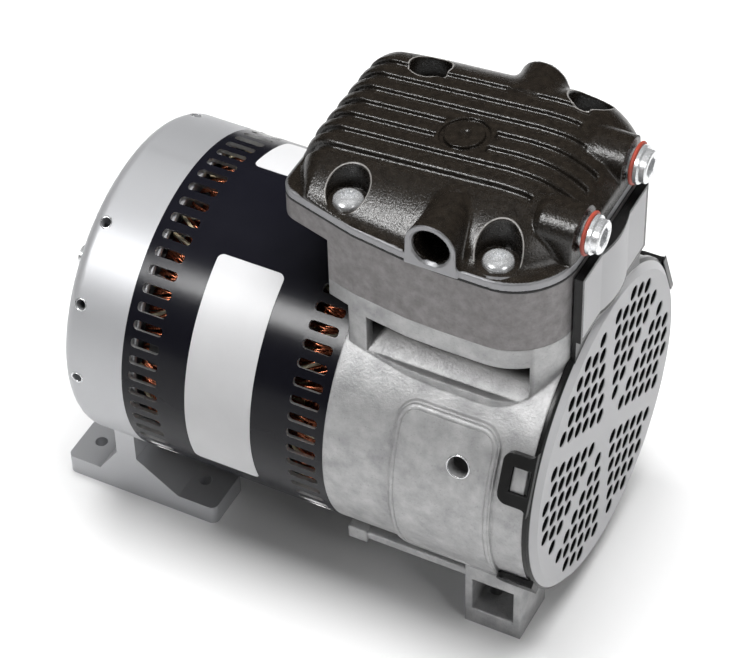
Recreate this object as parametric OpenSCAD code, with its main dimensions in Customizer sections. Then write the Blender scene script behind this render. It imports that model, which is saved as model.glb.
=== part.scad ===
// Rocking piston air compressor: a small oil-free compressor with its motor, case, cylinder and cover.
// X runs along the motor shaft towards the front cover, Y across, Z up. The origin is on the floor,
// under the middle of the machine. Places along the shaft are counted from the seam, the joint
// between the rear end bell and the motor shell.

/* [Motor barrel] */
// Outer radius of the motor shell, the end bell and the case
barrel_r = 66; // [62:0.5:70]
// Clearance between the barrel and the floor
belly_gap = 9; // [6:0.5:14]
// Length of the motor shell
shell_l = 87.3; // [84:0.1:92]
// Wall of the motor shell
shell_wall = 1.6; // [1.2:0.1:2.2]
// Number of air slots round the shell, an even number
slot_count = 56; // [40:2:60]
// Length of one air slot
slot_l = 12.4; // [8:0.1:13]
// Width of one air slot
slot_w = 3.8; // [2.5:0.1:4.2]
// Distance of each row of slots from its end of the shell, to the middle of the slots
slot_inset = 9.3; // [8:0.1:11]

/* [Rear end bell] */
// Length of the end bell
bell_l = 27.5; // [25:0.5:32]
// Wall of the end bell
bell_wall = 3.6; // [2.5:0.1:4.5]
// Radius of the rounded rear rim
bell_round = 6; // [3:0.5:8]
// Radius of the tapped holes in the side of the end bell
bell_hole_r = 2; // [1:0.1:2.6]
// Angle between those holes
bell_hole_pitch = 29; // [20:1:30]

/* [Feet] */
// Half of the width over the feet
foot_half_w = 52.5; // [48:0.5:58]
// Width of one foot across the machine
foot_w = 23; // [19:0.5:26]
// Reach of the rear foot behind the seam
foot_back = 40; // [38:0.5:44]
// Reach of the rear foot ahead of the seam
foot_ahead = 29; // [26:0.5:34]
// Thickness of the ears of the rear foot
ear_t = 9; // [6:0.5:12]
// Radius of the tapped foot holes
foot_hole_r = 2.6; // [1.5:0.1:3.5]
// Half of the distance across the machine between foot holes
foot_hole_y = 40; // [38:0.5:42]
// Distance between the two holes of one rear foot
foot_hole_gap = 49; // [46:0.5:52]
// Length of the front foot
front_foot_l = 23.5; // [20:0.5:26]

/* [Case] */
// Length of the case
case_l = 82.7; // [80:0.1:86]
// Wall of the case
case_wall = 4.5; // [3:0.1:5.5]
// Height of the neck above the barrel, where the cylinder stands
neck_h = 8; // [6:0.5:12]
// Thickness of the neck's top over the side windows
neck_top_t = 9; // [7:0.5:11]
// Distance from the side window's front end to the neck's front
window_post = 9.5; // [8:0.5:16]
// Radius of the drain hole in the side pad
pad_hole_r = 4.2; // [2:0.1:5]

/* [Cylinder and head] */
// Distance of the cylinder's axis ahead of the case's rear face
bore_ahead = 27.2; // [27.2:0.5:28.7]
// Radius of the cylinder bore
bore_r = 23.9; // [22:0.1:24.5]
// Wall of the cylinder sleeve
sleeve_wall = 2.8; // [2:0.1:3.5]
// Half of the width of the head
head_half_w = 49; // [47:0.5:52]
// Reach of the head behind the case's rear face
head_behind = 29.3; // [25.3:0.5:32.3]
// Reach of the head ahead of the case's front face
head_ahead = 1; // [0:0.5:1.5]
// Height of the valve plate casting
plate_h = 28; // [24:0.5:32]
// Thickness of the valve plate's deck
deck_t = 9; // [7:0.5:11]
// Thickness of the head gasket
gasket_t = 0.8; // [0.5:0.1:1.5]
// Height of the head above its gasket
head_h = 22.4; // [20:0.2:26]
// Thickness of the bare flange at the foot of the head
head_flange_t = 5.4; // [4:0.2:7]
// Pitch of the grooves along the head, as a share of half the head's width
groove_share = 0.1714; // [0.155:0.001:0.178]
// Width of one groove
groove_w = 2.6; // [1.5:0.1:4]
// Depth of one groove
groove_d = 2; // [1:0.1:2.5]
// Radius of the two side port holes
port_r = 7; // [5:0.1:7.6]
// Place of the near side port between the rear and front head screws, as a share of their distance
port_share = 0.653; // [0.6:0.001:0.68]
// Height of the port holes above the gasket
port_rise = 10.4; // [10:0.1:11]
// Radius of the bosses round the ports
port_boss_r = 9.9; // [9:0.1:10]

/* [Cover and fan] */
// Depth of the cover ahead of the case
cover_l = 4.6; // [4:0.1:6]
// Pitch of the grille holes, as a share of the barrel's radius
grille_share = 0.1212; // [0.114:0.001:0.124]
// Diameter of one grille hole, as a share of the pitch
grille_open = 0.8; // [0.5:0.05:0.85]
// Height of the cover's hood above the neck
hood_h = 26.4; // [22:0.2:27.5]
// Half of the width of the hood
hood_half_w = 29; // [26:0.5:33]
// Number of fan blades
fan_blades = 9; // [5:1:12]

/* [Running gear] */
// Radius of the motor shaft
shaft_r = 7.5; // [6:0.1:8]
// Half of the piston stroke, the offset of the eccentric
throw = 4.05; // [3:0.05:4.2]
// Clearance between two parts that turn past each other
run_gap = 0.3; // [0.2:0.05:0.5]

/* [Hidden] */
// Overrun of every cut, so that no cut ends on a face
over = 2;
// Facets of round forms
round_fn = 64;

// Heights above the shaft
axis_h = barrel_r + belly_gap;
case_top = barrel_r + neck_h;
window_top = case_top - neck_top_t;
hood_top = case_top + hood_h;

// Places along the shaft
bore_x = shell_l + bore_ahead;
head_back = shell_l - head_behind;
head_front = shell_l + case_l + head_ahead;
face_x = shell_l + case_l + cover_l;
plug_l = 7.5;
plug_reach = head_front + plug_l;
seam_x = -(plug_reach - foot_back) / 2;
case_x = seam_x + shell_l;
case_end = case_x + case_l;
cyl_x = seam_x + bore_x;

// Heights of the cylinder stack
top_of_case = axis_h + case_top;
deck_top = top_of_case + plate_h;
deck_bottom = deck_top - deck_t;
head_z = deck_top + gasket_t;
head_top = head_z + head_h;
flange_top = head_z + head_flange_t;
sleeve_r = bore_r + sleeve_wall;

// Outline of the head, valve plate and case neck, seen from above
rear_corner_r = 8;
corner_steps = 16;
front_corner_r = 25;
rear_half_w = head_half_w * 0.775;
// Places and half widths along the side of the outline, as shares of its length and half width
side_shares = [[0.3, 0.925], [0.5, 0.99], [0.62, 1]];
outline_l = head_front - head_back;
neck_back = shell_l - 7.3;
neck_foot_back = shell_l + 1.7;
neck_wall = 5;

// Head screws
screw_rear_x = bore_x - 30;
screw_rear_y = head_half_w - 15.5;
screw_front_x = head_front - 24.5;
port_x = screw_rear_x + port_share * (screw_front_x - screw_rear_x);
screw_front_y = head_half_w - 10;
screw_r = 2.9;
screw_head_r = 5.6;
screw_head_h = 4.2;
screw_seat = head_z + 3;
well_r = 8.3;
socket_r = 2.2;
socket_d = 1.6;

// A cylinder along the shaft, from x0 to x1, at height z and distance y from the middle
module rod_x(r, x0, x1, y = 0, z = axis_h) {
    translate([x0, y, z]) rotate([0, 90, 0]) cylinder(r = r, h = x1 - x0, $fn = round_fn);
}

// A cylinder across the machine, from y0 to y1
module rod_y(r, y0, y1, x, z) {
    translate([x, y1, z]) rotate([90, 0, 0]) cylinder(r = r, h = y1 - y0, $fn = round_fn);
}

// An upright cylinder
module rod_z(r, z0, z1, x, y) {
    translate([x, y, z0]) cylinder(r = r, h = z1 - z0, $fn = round_fn);
}

// A box given by its two corners
module box(a, b) {
    translate(a) cube(b - a);
}

// A body of revolution about the shaft: points are [distance along the shaft, radius]
module turned(points, z = axis_h) {
    translate([0, 0, z]) rotate([0, 90, 0])
        rotate_extrude($fn = round_fn) polygon([for (p = points) [p[1], p[0]]]);
}

// A ring about the shaft
module ring_x(r_out, r_in, x0, x1, z = axis_h) {
    turned([[x0, r_in], [x1, r_in], [x1, r_out], [x0, r_out]], z);
}

// An outline drawn in X and Z, carried across the machine from y0 to y1
module across(y0, y1) {
    translate([0, y1, 0]) rotate([90, 0, 0]) linear_extrude(y1 - y0) children();
}

// An outline drawn in Y and Z, carried along the shaft from x0 to x1
module along(x0, x1) {
    translate([x0, 0, 0]) rotate([90, 0, 90]) linear_extrude(x1 - x0) children();
}

// A rectangle with round corners, given by its two corners
module round_rect(a, b, r) {
    for (x = [a[0] + r, b[0] - r], y = [a[1] + r, b[1] - r])
        translate([x, y]) circle(r = r, $fn = round_fn);
    translate([a[0] + r, a[1]]) square([b[0] - a[0] - 2 * r, b[1] - a[1]]);
    translate([a[0], a[1] + r]) square([b[0] - a[0], b[1] - a[1] - 2 * r]);
}

// Points of an arc about mid, from angle a0 to a1, in n steps
function arc(mid, r, a0, a1, n) = [for (k = [0:n]) mid + r * [cos(a0 + (a1 - a0) * k / n),
                                                             sin(a0 + (a1 - a0) * k / n)]];

// The outline shared by the head, its gasket, the valve plate and the neck, drawn in by inset
module outline(inset = 0) {
    back = seam_x + head_back;
    front = seam_x + head_front;
    sides = [for (s = side_shares) [back + s[0] * outline_l, s[1] * head_half_w - inset]];
    rise = atan2(sides[0][1] + inset - rear_half_w, sides[0][0] - back - rear_corner_r);
    near = concat(arc([back + rear_corner_r, rear_half_w - rear_corner_r], rear_corner_r - inset,
                      180, 90 + rise, corner_steps / 2),
                  sides,
                  arc([front - front_corner_r, head_half_w - front_corner_r], front_corner_r - inset,
                      90, 0, corner_steps));
    mirrored = [for (i = [len(near) - 1:-1:0]) [near[i][0], -near[i][1]]];
    polygon(concat(near, mirrored));
}

// The outline cut off at the back, as the neck and the skirt of the valve plate are
module cut_outline(from, inset = 0) {
    intersection() {
        outline(inset);
        translate([seam_x + from, -head_half_w]) square([outline_l, 2 * head_half_w]);
    }
}

// Children at each of the four head screws
module at_screws() {
    for (s = [-1, 1]) {
        translate([seam_x + screw_rear_x, s * screw_rear_y, 0]) children();
        translate([seam_x + screw_front_x, s * screw_front_y, 0]) children();
    }
}

// Case: barrel, bearing wall, neck with its windows, front feet and side pads
hub_r = 22;
bearing_r = 16;
bearing_w = 11;
bearing_seat = shell_l + 5.2;
hub_end = bearing_seat + bearing_w + 0.5;
web_back = shell_l + 1.2;
web_t = 4;
window_back = shell_l + 9.7;
window_front = head_front - window_post;
collar_r = sleeve_r + 4.3;
collar_drop = 12;
neck_root = barrel_r - 36;
neck_lip = 1.5;
sill_y = head_half_w - 3.7;
roof_half_w = min(collar_r + 3, head_half_w - 15);
front_foot_x = shell_l + case_l - 29.5;
front_foot_wall = 3;
front_foot_floor = 8;
front_foot_top = 25;
front_foot_hole_x = front_foot_x + 7.5;
pad_back = bore_x + 0.5;
pad_front = shell_l + case_l - 13;
pad_low = -barrel_r * 0.64;
pad_high = barrel_r * 0.606;
pad_corner = 8;
pad_t = 1.2;
pad_hole_x = pad_front - 14.5;
pad_hole_up = 20;
ledge_in = barrel_r * 0.6;
ledge_out = barrel_r * 0.765;
ledge_t = 3.2;
ledge_z = axis_h - barrel_r * 0.775;
ledge_block_l = 8;
tab_angle = 23;
tab_x = face_x - 10.6;
tab_l = 12.6;
tab_half_w = 10.5;
tab_t = 2.6;
tab_round = 4;
tab_flare = 3;
tab_window_l = 7.4;
tab_window_w = 10.4;
lug_t = 2;
hook_angle = -31;
hook_l = 15.5;
hook_half_w = 4.6;
hook_slot_w = 1.8;

module barrel_window() {
    low = axis_h + sqrt(pow(barrel_r, 2) - pow(sill_y, 2));
    for (s = [-1, 1])
        translate([0, s * head_half_w * 0.86, 0])
            box([seam_x + window_back, -head_half_w / 4, low],
                [seam_x + window_front, head_half_w / 4, axis_h + window_top]);
}

module neck() {
    difference() {
        translate([0, 0, axis_h + neck_root])
            linear_extrude(case_top - neck_root) cut_outline(neck_back);
        box([seam_x + neck_back - over, -head_half_w - over, axis_h + neck_root - over],
            [seam_x + neck_foot_back, head_half_w + over, axis_h + window_top + neck_lip]);
    }
}

// The air room in the neck and its side windows. The barrel's roof carries on under the neck
// up to the collar round the cylinder, so the windows end on the curve of the barrel.
module neck_room() {
    difference() {
        union() {
            difference() {
                translate([0, 0, axis_h + neck_root]) linear_extrude(window_top - neck_root)
                    cut_outline(neck_foot_back + neck_wall, neck_wall);
                rod_z(collar_r, axis_h + window_top - collar_drop, top_of_case, cyl_x, 0);
            }
            barrel_window();
        }
        difference() {
            rod_x(barrel_r + run_gap, case_x, case_end + over);
            box([case_x - over, -roof_half_w, axis_h],
                [case_end + 2 * over, roof_half_w, axis_h + barrel_r + over]);
        }
    }
}

module front_foot(s) {
    x0 = seam_x + front_foot_x;
    x1 = x0 + front_foot_l;
    mirror([0, s < 0 ? 1 : 0, 0]) {
        box([x0, foot_half_w - foot_w, 0], [x1, foot_half_w, axis_h - barrel_r + foot_w]);
    }
}

module front_foot_room(s) {
    x0 = seam_x + front_foot_x;
    x1 = x0 + front_foot_l;
    mirror([0, s < 0 ? 1 : 0, 0]) {
        box([x0 + front_foot_wall, foot_half_w - foot_w + front_foot_wall, front_foot_floor],
            [x1 - front_foot_wall, foot_half_w + over, front_foot_top]);
        rod_z(foot_hole_r, -over, front_foot_floor + over, seam_x + front_foot_hole_x, foot_hole_y);
    }
}

module side_pad(s) {
    intersection() {
        ring_x(barrel_r + pad_t, barrel_r - case_wall / 2, case_x, case_end);
        mirror([0, s < 0 ? 1 : 0, 0]) across(barrel_r / 2, barrel_r + over)
            round_rect([seam_x + pad_back, axis_h + pad_low], [seam_x + pad_front, axis_h + pad_high],
                       pad_corner);
    }
}

// The ledge along the foot of the barrel, thicker at its rear end
module bottom_ledge(s) {
    mirror([0, s < 0 ? 1 : 0, 0]) {
        box([case_x + over, ledge_in, ledge_z], [seam_x + front_foot_x + over, ledge_out, ledge_z + ledge_t]);
        box([case_x + over, ledge_in, ledge_z - ledge_t / 2],
            [case_x + over + ledge_block_l, ledge_out + ledge_t / 4, ledge_z + 1.25 * ledge_t]);
    }
}

// A block that stands off the barrel's side at an angle, from radius r0 to r1
module side_block(s, angle, x0, x1, half_w, r0, r1) {
    mirror([0, s < 0 ? 1 : 0, 0]) translate([0, 0, axis_h]) rotate([angle, 0, 0])
        box([x0, r0, -half_w], [x1, r1, half_w]);
}

module crankcase() color("gainsboro") {
    difference() {
        union() {
            rod_x(barrel_r, case_x, case_end);
            neck();
            for (s = [-1, 1]) {
                front_foot(s);
                side_pad(s);
                bottom_ledge(s);
                side_block(s, tab_angle, seam_x + tab_x, seam_x + tab_x + tab_window_l - over,
                           tab_window_w / 2 - run_gap, barrel_r - lug_t, barrel_r + lug_t);
            }
        }
        rod_x(barrel_r - case_wall, case_x - over, seam_x + web_back);
        difference() {
            rod_x(barrel_r - case_wall, seam_x + web_back + web_t, case_end + over);
            rod_x(hub_r, seam_x + web_back, seam_x + hub_end);
            for (a = [30:60:359]) rotate_about_shaft(a)
                box([seam_x + web_back, bearing_r + over, -web_t / 2],
                    [seam_x + hub_end - web_t, barrel_r, web_t / 2]);
        }
        rod_x(rim_r + run_gap, case_end, case_end + over);
        neck_room();
        for (s = [-1, 1]) front_foot_room(s);
        rod_z(sleeve_r, axis_h + sleeve_foot - over, top_of_case + over, cyl_x, 0);
        at_screws() rod_z(screw_r, axis_h + window_top - over, top_of_case + over, 0, 0);
        rod_x(shaft_r + 1.5, seam_x + web_back - over, seam_x + hub_end + over);
        rod_x(bearing_r, seam_x + bearing_seat, seam_x + hub_end + over);
        for (s = [-1, 1]) mirror([0, s < 0 ? 1 : 0, 0]) rotate_about_shaft(pad_hole_up)
            rod_y(pad_hole_r, barrel_r / 2, barrel_r + over, seam_x + pad_hole_x, 0);
        for (a = [45:90:359]) rotate_about_shaft(a)
            rod_x(bolt_r, case_x - over, seam_x + web_back + web_t + over, bolt_circle, 0);
    }
}

// Children turned about the shaft, drawn about the X axis
module rotate_about_shaft(a) {
    translate([0, 0, axis_h]) rotate([a, 0, 0]) children();
}

// Through bolts that clamp the motor shell between the end bell and the case
bolt_circle = barrel_r - 8.5;
bolt_seat = 1.8;
bolt_r = 2.2;
bolt_head_r = 4;
bolt_head_h = 3;

module through_bolts() color("silver") {
    for (a = [45:90:359]) rotate_about_shaft(a) {
        rod_x(bolt_r, seam_x - bell_l + bolt_seat, seam_x + web_back + web_t, bolt_circle, 0);
        difference() {
            rod_x(bolt_head_r, seam_x - bell_l + bolt_seat - bolt_head_h, seam_x - bell_l + bolt_seat,
                  bolt_circle, 0);
            rod_x(socket_r, seam_x - bell_l - 2 * over, seam_x - bell_l + bolt_seat - socket_d,
                  bolt_circle, 0);
        }
    }
}

// Rear end bell: a turned cup with its bearing hub and two feet cast on
rear_hub_r = 21;
rear_hub_l = 15;
rear_dish_r = 30;
rear_dish_d = 1.6;
web_back_top = 15.5;
web_front_top = 6.5;
web_back_foot = 24.5;
web_front_foot = 12;
web_knee = 22;
bell_hole_x = 20.5;
ear_round = 3;

module rear_foot(s) {
    back = seam_x - foot_back;
    front = seam_x + foot_ahead;
    far = foot_half_w - foot_w;
    mirror([0, s < 0 ? 1 : 0, 0]) difference() {
        union() {
            translate([0, 0, 0]) linear_extrude(ear_t)
                round_rect([back, far], [front, foot_half_w], ear_round);
            across(far, foot_half_w) polygon([
                [seam_x - web_back_foot, ear_t / 2], [seam_x + web_front_foot, ear_t / 2],
                [seam_x + web_front_foot, ear_t], [seam_x - web_front_top, web_knee],
                [seam_x - web_front_top, axis_h - barrel_r + foot_w + ear_t],
                [seam_x - web_back_top, axis_h - barrel_r + foot_w + ear_t],
                [seam_x - web_back_top, web_knee], [seam_x - web_back_foot, ear_t]]);
        }
        for (x = [rear_hole_x, rear_hole_x + foot_hole_gap])
            rod_z(foot_hole_r, -over, ear_t + over, seam_x + x, foot_hole_y);
    }
}
rear_hole_x = 8.7 - foot_back;

module rear_end_bell() color("whitesmoke") {
    back = seam_x - bell_l;
    difference() {
        union() {
            rod_x(barrel_r, back + bell_round, seam_x);
            rod_x(barrel_r - bell_round, back, seam_x);
            translate([back + bell_round, 0, axis_h]) rotate([0, 90, 0])
                rotate_extrude($fn = round_fn) translate([barrel_r - bell_round, 0])
                    circle(r = bell_round, $fn = round_fn);
            for (s = [-1, 1]) rear_foot(s);
        }
        difference() {
            rod_x(barrel_r - bell_wall, back + bell_wall, seam_x + over);
            rod_x(rear_hub_r, back, back + bell_wall + rear_hub_l);
            for (a = [0:60:359]) rotate_about_shaft(a)
                box([back, 0, -bell_wall / 2], [back + bell_wall + rear_hub_l / 2, barrel_r, bell_wall / 2]);
        }
        rod_x(bearing_r, back + bell_wall + rear_hub_l - bearing_w - washer_t, seam_x);
        rod_x(rear_dish_r, back - over, back + rear_dish_d);
        for (s = [-1, 1], k = [0:2]) mirror([0, s < 0 ? 1 : 0, 0])
            translate([0, 0, axis_h]) rotate([k * bell_hole_pitch, 0, 0])
                rod_y(bell_hole_r, barrel_r - bell_wall - over, barrel_r + over, seam_x - bell_hole_x, 0);
        for (a = [45:90:359]) rotate_about_shaft(a) {
            rod_x(bolt_r, back - over, back + bell_wall + over, bolt_circle, 0);
            rod_x(bolt_head_r + run_gap, back - over, back + bolt_seat, bolt_circle, 0);
        }
    }
}

module slot_row(x) {
    for (i = [0:slot_count - 1]) rotate_about_shaft((i + 0.5) * 360 / slot_count)
        box([x - slot_l / 2, -slot_w / 2, barrel_r - 2 * shell_wall], [x + slot_l / 2, slot_w / 2, barrel_r + over]);
}

module motor_shell() color("#1d1d27") {
    difference() {
        ring_x(barrel_r, barrel_r - shell_wall, seam_x, case_x);
        slot_row(seam_x + slot_inset);
        slot_row(case_x - slot_inset);
    }
}

// Motor windings and iron inside the shell
stator_back = 19;
stator_front = shell_l - 19.3;
stator_bore_r = barrel_r / 2;
winding_r = barrel_r - 12.5;
winding_in_r = stator_bore_r + 5;
winding_reach = 15;
rotor_gap = 0.5;

module stator_core() color("slategray") {
    difference() {
        rod_x(barrel_r - shell_wall, seam_x + stator_back, seam_x + stator_front);
        rod_x(stator_bore_r, seam_x + stator_back - over, seam_x + stator_front + over);
        for (a = [45:90:359]) rotate_about_shaft(a)
            rod_x(bolt_r + run_gap, seam_x + stator_back - over, seam_x + stator_front + over, bolt_circle, 0);
    }
}

// One end winding: a round ring of wire against the iron at x, reaching l from it
module winding(x, l) {
    half = (winding_r - winding_in_r) / 2;
    turned(concat([[x, winding_in_r], [x, winding_r]],
                  [for (a = [90:-15:-90]) [x + l * (0.4 + 0.6 * cos(a)), winding_in_r + half + half * sin(a)]]));
}

module rear_winding() color("#8c4a2a") winding(seam_x + stator_back, -winding_reach);

module front_winding() color("#8c4a2a") winding(seam_x + stator_front, winding_reach);

liner_t = 0.8;
module slot_insulation() color("#ddd2a8") {
    for (x = [seam_x + stator_back - winding_reach / 3, seam_x + stator_front])
        ring_x(winding_r + 1.5 * liner_t, winding_r + liner_t / 2, x, x + winding_reach / 3);
}

protector_l = 10;
protector_w = 12;
protector_t = 4;
module thermal_protector() color("black") {
    rotate_about_shaft(70)
        box([seam_x + stator_back - protector_l, -protector_w / 2, bolt_circle],
            [seam_x + stator_back, protector_w / 2, bolt_circle + protector_t]);
}

// Labels: two bare plates that follow the barrel
label_t = 0.3;
label_gap = 0.06;
module label(x0, x1, low, high) {
    intersection() {
        ring_x(barrel_r + label_t, barrel_r + label_gap, seam_x + x0, seam_x + x1);
        translate([0, 0, axis_h]) along(seam_x + x0 - over, seam_x + x1 + over)
            polygon(concat([[0, 0]], [for (k = [0:3])
                2 * barrel_r * [-cos(low + (high - low) * k / 3), sin(low + (high - low) * k / 3)]]));
    }
}

side_label_back = 28;
side_label_front = shell_l - 31;
side_label_low = -23;
side_label_high = 60.7;
top_label_back = 20;
top_label_front = shell_l - 47.3;
top_label_low = 98;
top_label_high = 124;
module side_label() color("white")
    label(side_label_back, side_label_front, side_label_low, side_label_high);
module top_label() color("white")
    label(top_label_back, top_label_front, top_label_low, top_label_high);

// Cylinder sleeve, clamped between the case and the valve plate
sleeve_foot = case_top - 29;
seal_t = 1.6;
seal_depth = 1;
module cylinder_sleeve() color("silver") {
    difference() {
        rod_z(sleeve_r, axis_h + sleeve_foot, deck_bottom, cyl_x, 0);
        rod_z(bore_r, axis_h + sleeve_foot - over, deck_bottom + over, cyl_x, 0);
        difference() {
            rod_z(sleeve_r + over, deck_bottom - 3 * seal_t, deck_bottom - 2 * seal_t, cyl_x, 0);
            rod_z(sleeve_r - seal_depth, deck_bottom - 4 * seal_t, deck_bottom, cyl_x, 0);
        }
    }
}

module sleeve_seal() color("#202020") {
    difference() {
        rod_z(sleeve_r + seal_depth, deck_bottom - 3 * seal_t, deck_bottom - 2 * seal_t, cyl_x, 0);
        rod_z(sleeve_r - seal_depth, deck_bottom - 4 * seal_t, deck_bottom, cyl_x, 0);
    }
}

// Valve plate: a deck over the cylinder with a skirt down to the case
skirt_wall = 4;
valve_y = 12;
valve_r = 3.5;
reed_hole_back = 14.5;
reed_screw_r = 1.5;
module valve_plate() color("#78756f") {
    difference() {
        union() {
            translate([0, 0, deck_bottom]) linear_extrude(deck_t) outline();
            translate([0, 0, top_of_case]) linear_extrude(plate_h - deck_t) cut_outline(neck_back);
        }
        difference() {
            translate([0, 0, top_of_case - over]) linear_extrude(plate_h - deck_t + over)
                cut_outline(neck_back + skirt_wall, skirt_wall);
            at_screws() rod_z(screw_r + neck_wall / 2, top_of_case - over, deck_bottom, 0, 0);
            rod_z(sleeve_r + skirt_wall, deck_bottom - 4 * seal_t, deck_bottom, cyl_x, 0);
        }
        rod_z(sleeve_r, top_of_case - over, deck_bottom, cyl_x, 0);
        rod_z(sleeve_r + seal_depth, deck_bottom - 3 * seal_t, deck_bottom - 2 * seal_t, cyl_x, 0);
        at_screws() rod_z(screw_r + run_gap, top_of_case - over, deck_top + over, 0, 0);
        for (y = [-valve_y, valve_y]) {
            rod_z(valve_r, deck_bottom - over, deck_top + over, cyl_x, y);
            rod_z(reed_screw_r, deck_bottom - over, deck_top + over, cyl_x - reed_hole_back, y);
        }
    }
}

// Head chambers, one on each side of the middle wall
chamber_back = head_back + 35;
chamber_front = head_front - 19;
chamber_y = 3;
chamber_out = head_half_w - 17;
chamber_r = 5;
chamber_roof = 4.4;
module chambers() {
    for (s = [-1, 1]) mirror([0, s < 0 ? 1 : 0, 0])
        round_rect([seam_x + chamber_back, chamber_y], [seam_x + chamber_front, chamber_out], chamber_r);
}

module head_gasket() color("#2a2a2a") {
    difference() {
        translate([0, 0, deck_top]) linear_extrude(gasket_t) outline();
        difference() {
            translate([0, 0, deck_top - over]) linear_extrude(gasket_t + 2 * over) chambers();
            at_screws() rod_z(well_r, deck_top - 2 * over, deck_top + 2 * over, 0, 0);
        }
        at_screws() rod_z(screw_r + run_gap, deck_top - over, head_z + over, 0, 0);
    }
}

// Head: crowned cap with long grooves, two side ports and two plugged front ports
rear_round = 13;
front_round = 17;
crown_r = 26;
head_inset = 0.9;
rear_depth = 1.6;
boss_x0 = head_front - 13;
plug_y = head_half_w * 0.42;
groove_pitch = head_half_w * groove_share;
far_port_back = 1.5;
plug_rise = 13;
plug_boss_r = 9.7;
plug_bore_r = 4.8;
dimple_r = 2.2;
dimple_pad_r = 7.5;
dimple_clear = 3.2;
dimple_lift = 0.5;

// Side profile of the head in X and Z, drawn in by inset
module side_profile(inset = 0) {
    back = seam_x + head_back + head_inset;
    front = seam_x + head_front - head_inset;
    polygon(concat(
        [[back + inset, deck_top]],
        arc([back + rear_round, head_top - rear_round], rear_round - inset, 180, 90, corner_steps / 2),
        arc([front - front_round, head_top - front_round], front_round - inset, 90, 0, corner_steps / 2),
        [[front - inset, deck_top]]));
}

// Cross profile of the head in Y and Z
module cross_profile() {
    half = head_half_w - crown_r;
    polygon(concat(
        [[-head_half_w, deck_top]], arc([-half, head_top - crown_r], crown_r, 180, 90, corner_steps / 2),
        arc([half, head_top - crown_r], crown_r, 90, 0, corner_steps / 2), [[head_half_w, deck_top]]));
}

module head_body() {
    intersection() {
        translate([0, 0, head_z]) linear_extrude(head_h) outline(head_inset);
        across(-head_half_w, head_half_w) side_profile();
        along(seam_x + head_back, seam_x + head_front) cross_profile();
    }
}

module head_groove(y, x0, x1) {
    difference() {
        box([x0, y - groove_w / 2, head_z + head_flange_t], [x1, y + groove_w / 2, head_top + over]);
        across(y - groove_w, y + groove_w) side_profile(groove_d);
    }
}

module cylinder_head() color("#2b2926") {
    port_z = head_z + port_rise;
    plug_z = head_z + plug_rise;
    difference() {
        union() {
            translate([0, 0, head_z]) linear_extrude(head_flange_t) outline();
            difference() {
                head_body();
                for (k = [-2.5:1:2.5]) if (abs(k) > 1)
                    head_groove(k * groove_pitch, seam_x + head_back - over, seam_x + head_front + over);
                for (k = [-0.5, 0.5]) {
                    head_groove(k * groove_pitch, seam_x + head_back - over,
                                cyl_x - dimple_pad_r - dimple_clear);
                    head_groove(k * groove_pitch, cyl_x + dimple_pad_r + dimple_clear,
                                seam_x + head_front + over);
                }
            }
            rod_z(dimple_pad_r, head_top - groove_d, head_top + dimple_lift, cyl_x, 0);
            for (s = [-1, 1]) across(s < 0 ? -port_face : 0, s < 0 ? 0 : port_face) {
                translate([port_place(s), port_z]) circle(r = port_boss_r, $fn = round_fn);
                translate([port_place(s) - port_boss_r, head_z]) square([2 * port_boss_r, port_rise]);
            }
            along(seam_x + boss_x0, seam_x + boss_face) for (s = [-1, 1]) {
                translate([s * plug_y, plug_z]) circle(r = plug_boss_r, $fn = round_fn);
                translate([s * plug_y - plug_boss_r * 0.8, head_z])
                    square([1.6 * plug_boss_r, plug_rise]);
            }
        }
        difference() {
            translate([0, 0, head_z - over]) linear_extrude(head_h - chamber_roof + over) chambers();
            at_screws() rod_z(well_r + 2, head_z - over, head_top, 0, 0);
        }
        for (s = [-1, 1]) mirror([0, s < 0 ? 1 : 0, 0]) {
            rod_y(port_r, chamber_out - over, port_face + over, port_place(s), port_z);
            rod_x(plug_bore_r, seam_x + chamber_front - over, seam_x + boss_face + over, plug_y, plug_z);
        }
        at_screws() {
            rod_z(well_r, screw_seat, head_top + over, 0, 0);
            rod_z(screw_r + run_gap, head_z - over, screw_seat + over, 0, 0);
        }
        rod_z(dimple_r, head_top - dimple_lift, head_top + over, cyl_x, 0);
    }
}
port_face = head_half_w + 0.8;
boss_face = head_front + 1.4;
// Place of a port: the near one has s = -1, and the far one sits a little behind it
function port_place(s) = seam_x + port_x - (s > 0 ? far_port_back : 0);

module head_screws() color("silver") {
    at_screws() {
        rod_z(screw_r, axis_h + window_top + 1, screw_seat, 0, 0);
        difference() {
            rod_z(screw_head_r, screw_seat, screw_seat + screw_head_h, 0, 0);
            rod_z(socket_r, screw_seat + screw_head_h - socket_d, screw_seat + screw_head_h + over, 0, 0);
        }
    }
}

// Plugs and their red gaskets in the two front ports
plug_gasket_t = 1.5;
plug_head_r = 7.4;
plug_head_l = plug_reach - boss_face - plug_gasket_t;
plug_gasket_r = 8.4;
plug_socket_r = 3.4;
plug_stem_l = 8;
module port_plugs() color("silver") {
    for (s = [-1, 1]) difference() {
        union() {
            rod_x(plug_head_r, seam_x + boss_face + plug_gasket_t, seam_x + plug_reach,
                  s * plug_y, head_z + plug_rise);
            rod_x(plug_bore_r, seam_x + boss_face - plug_stem_l, seam_x + boss_face + plug_gasket_t,
                  s * plug_y, head_z + plug_rise);
        }
        translate([seam_x + plug_reach - plug_head_l, s * plug_y, head_z + plug_rise]) rotate([0, 90, 0])
            cylinder(r = plug_socket_r, h = plug_head_l + over, $fn = 6);
    }
}

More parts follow.
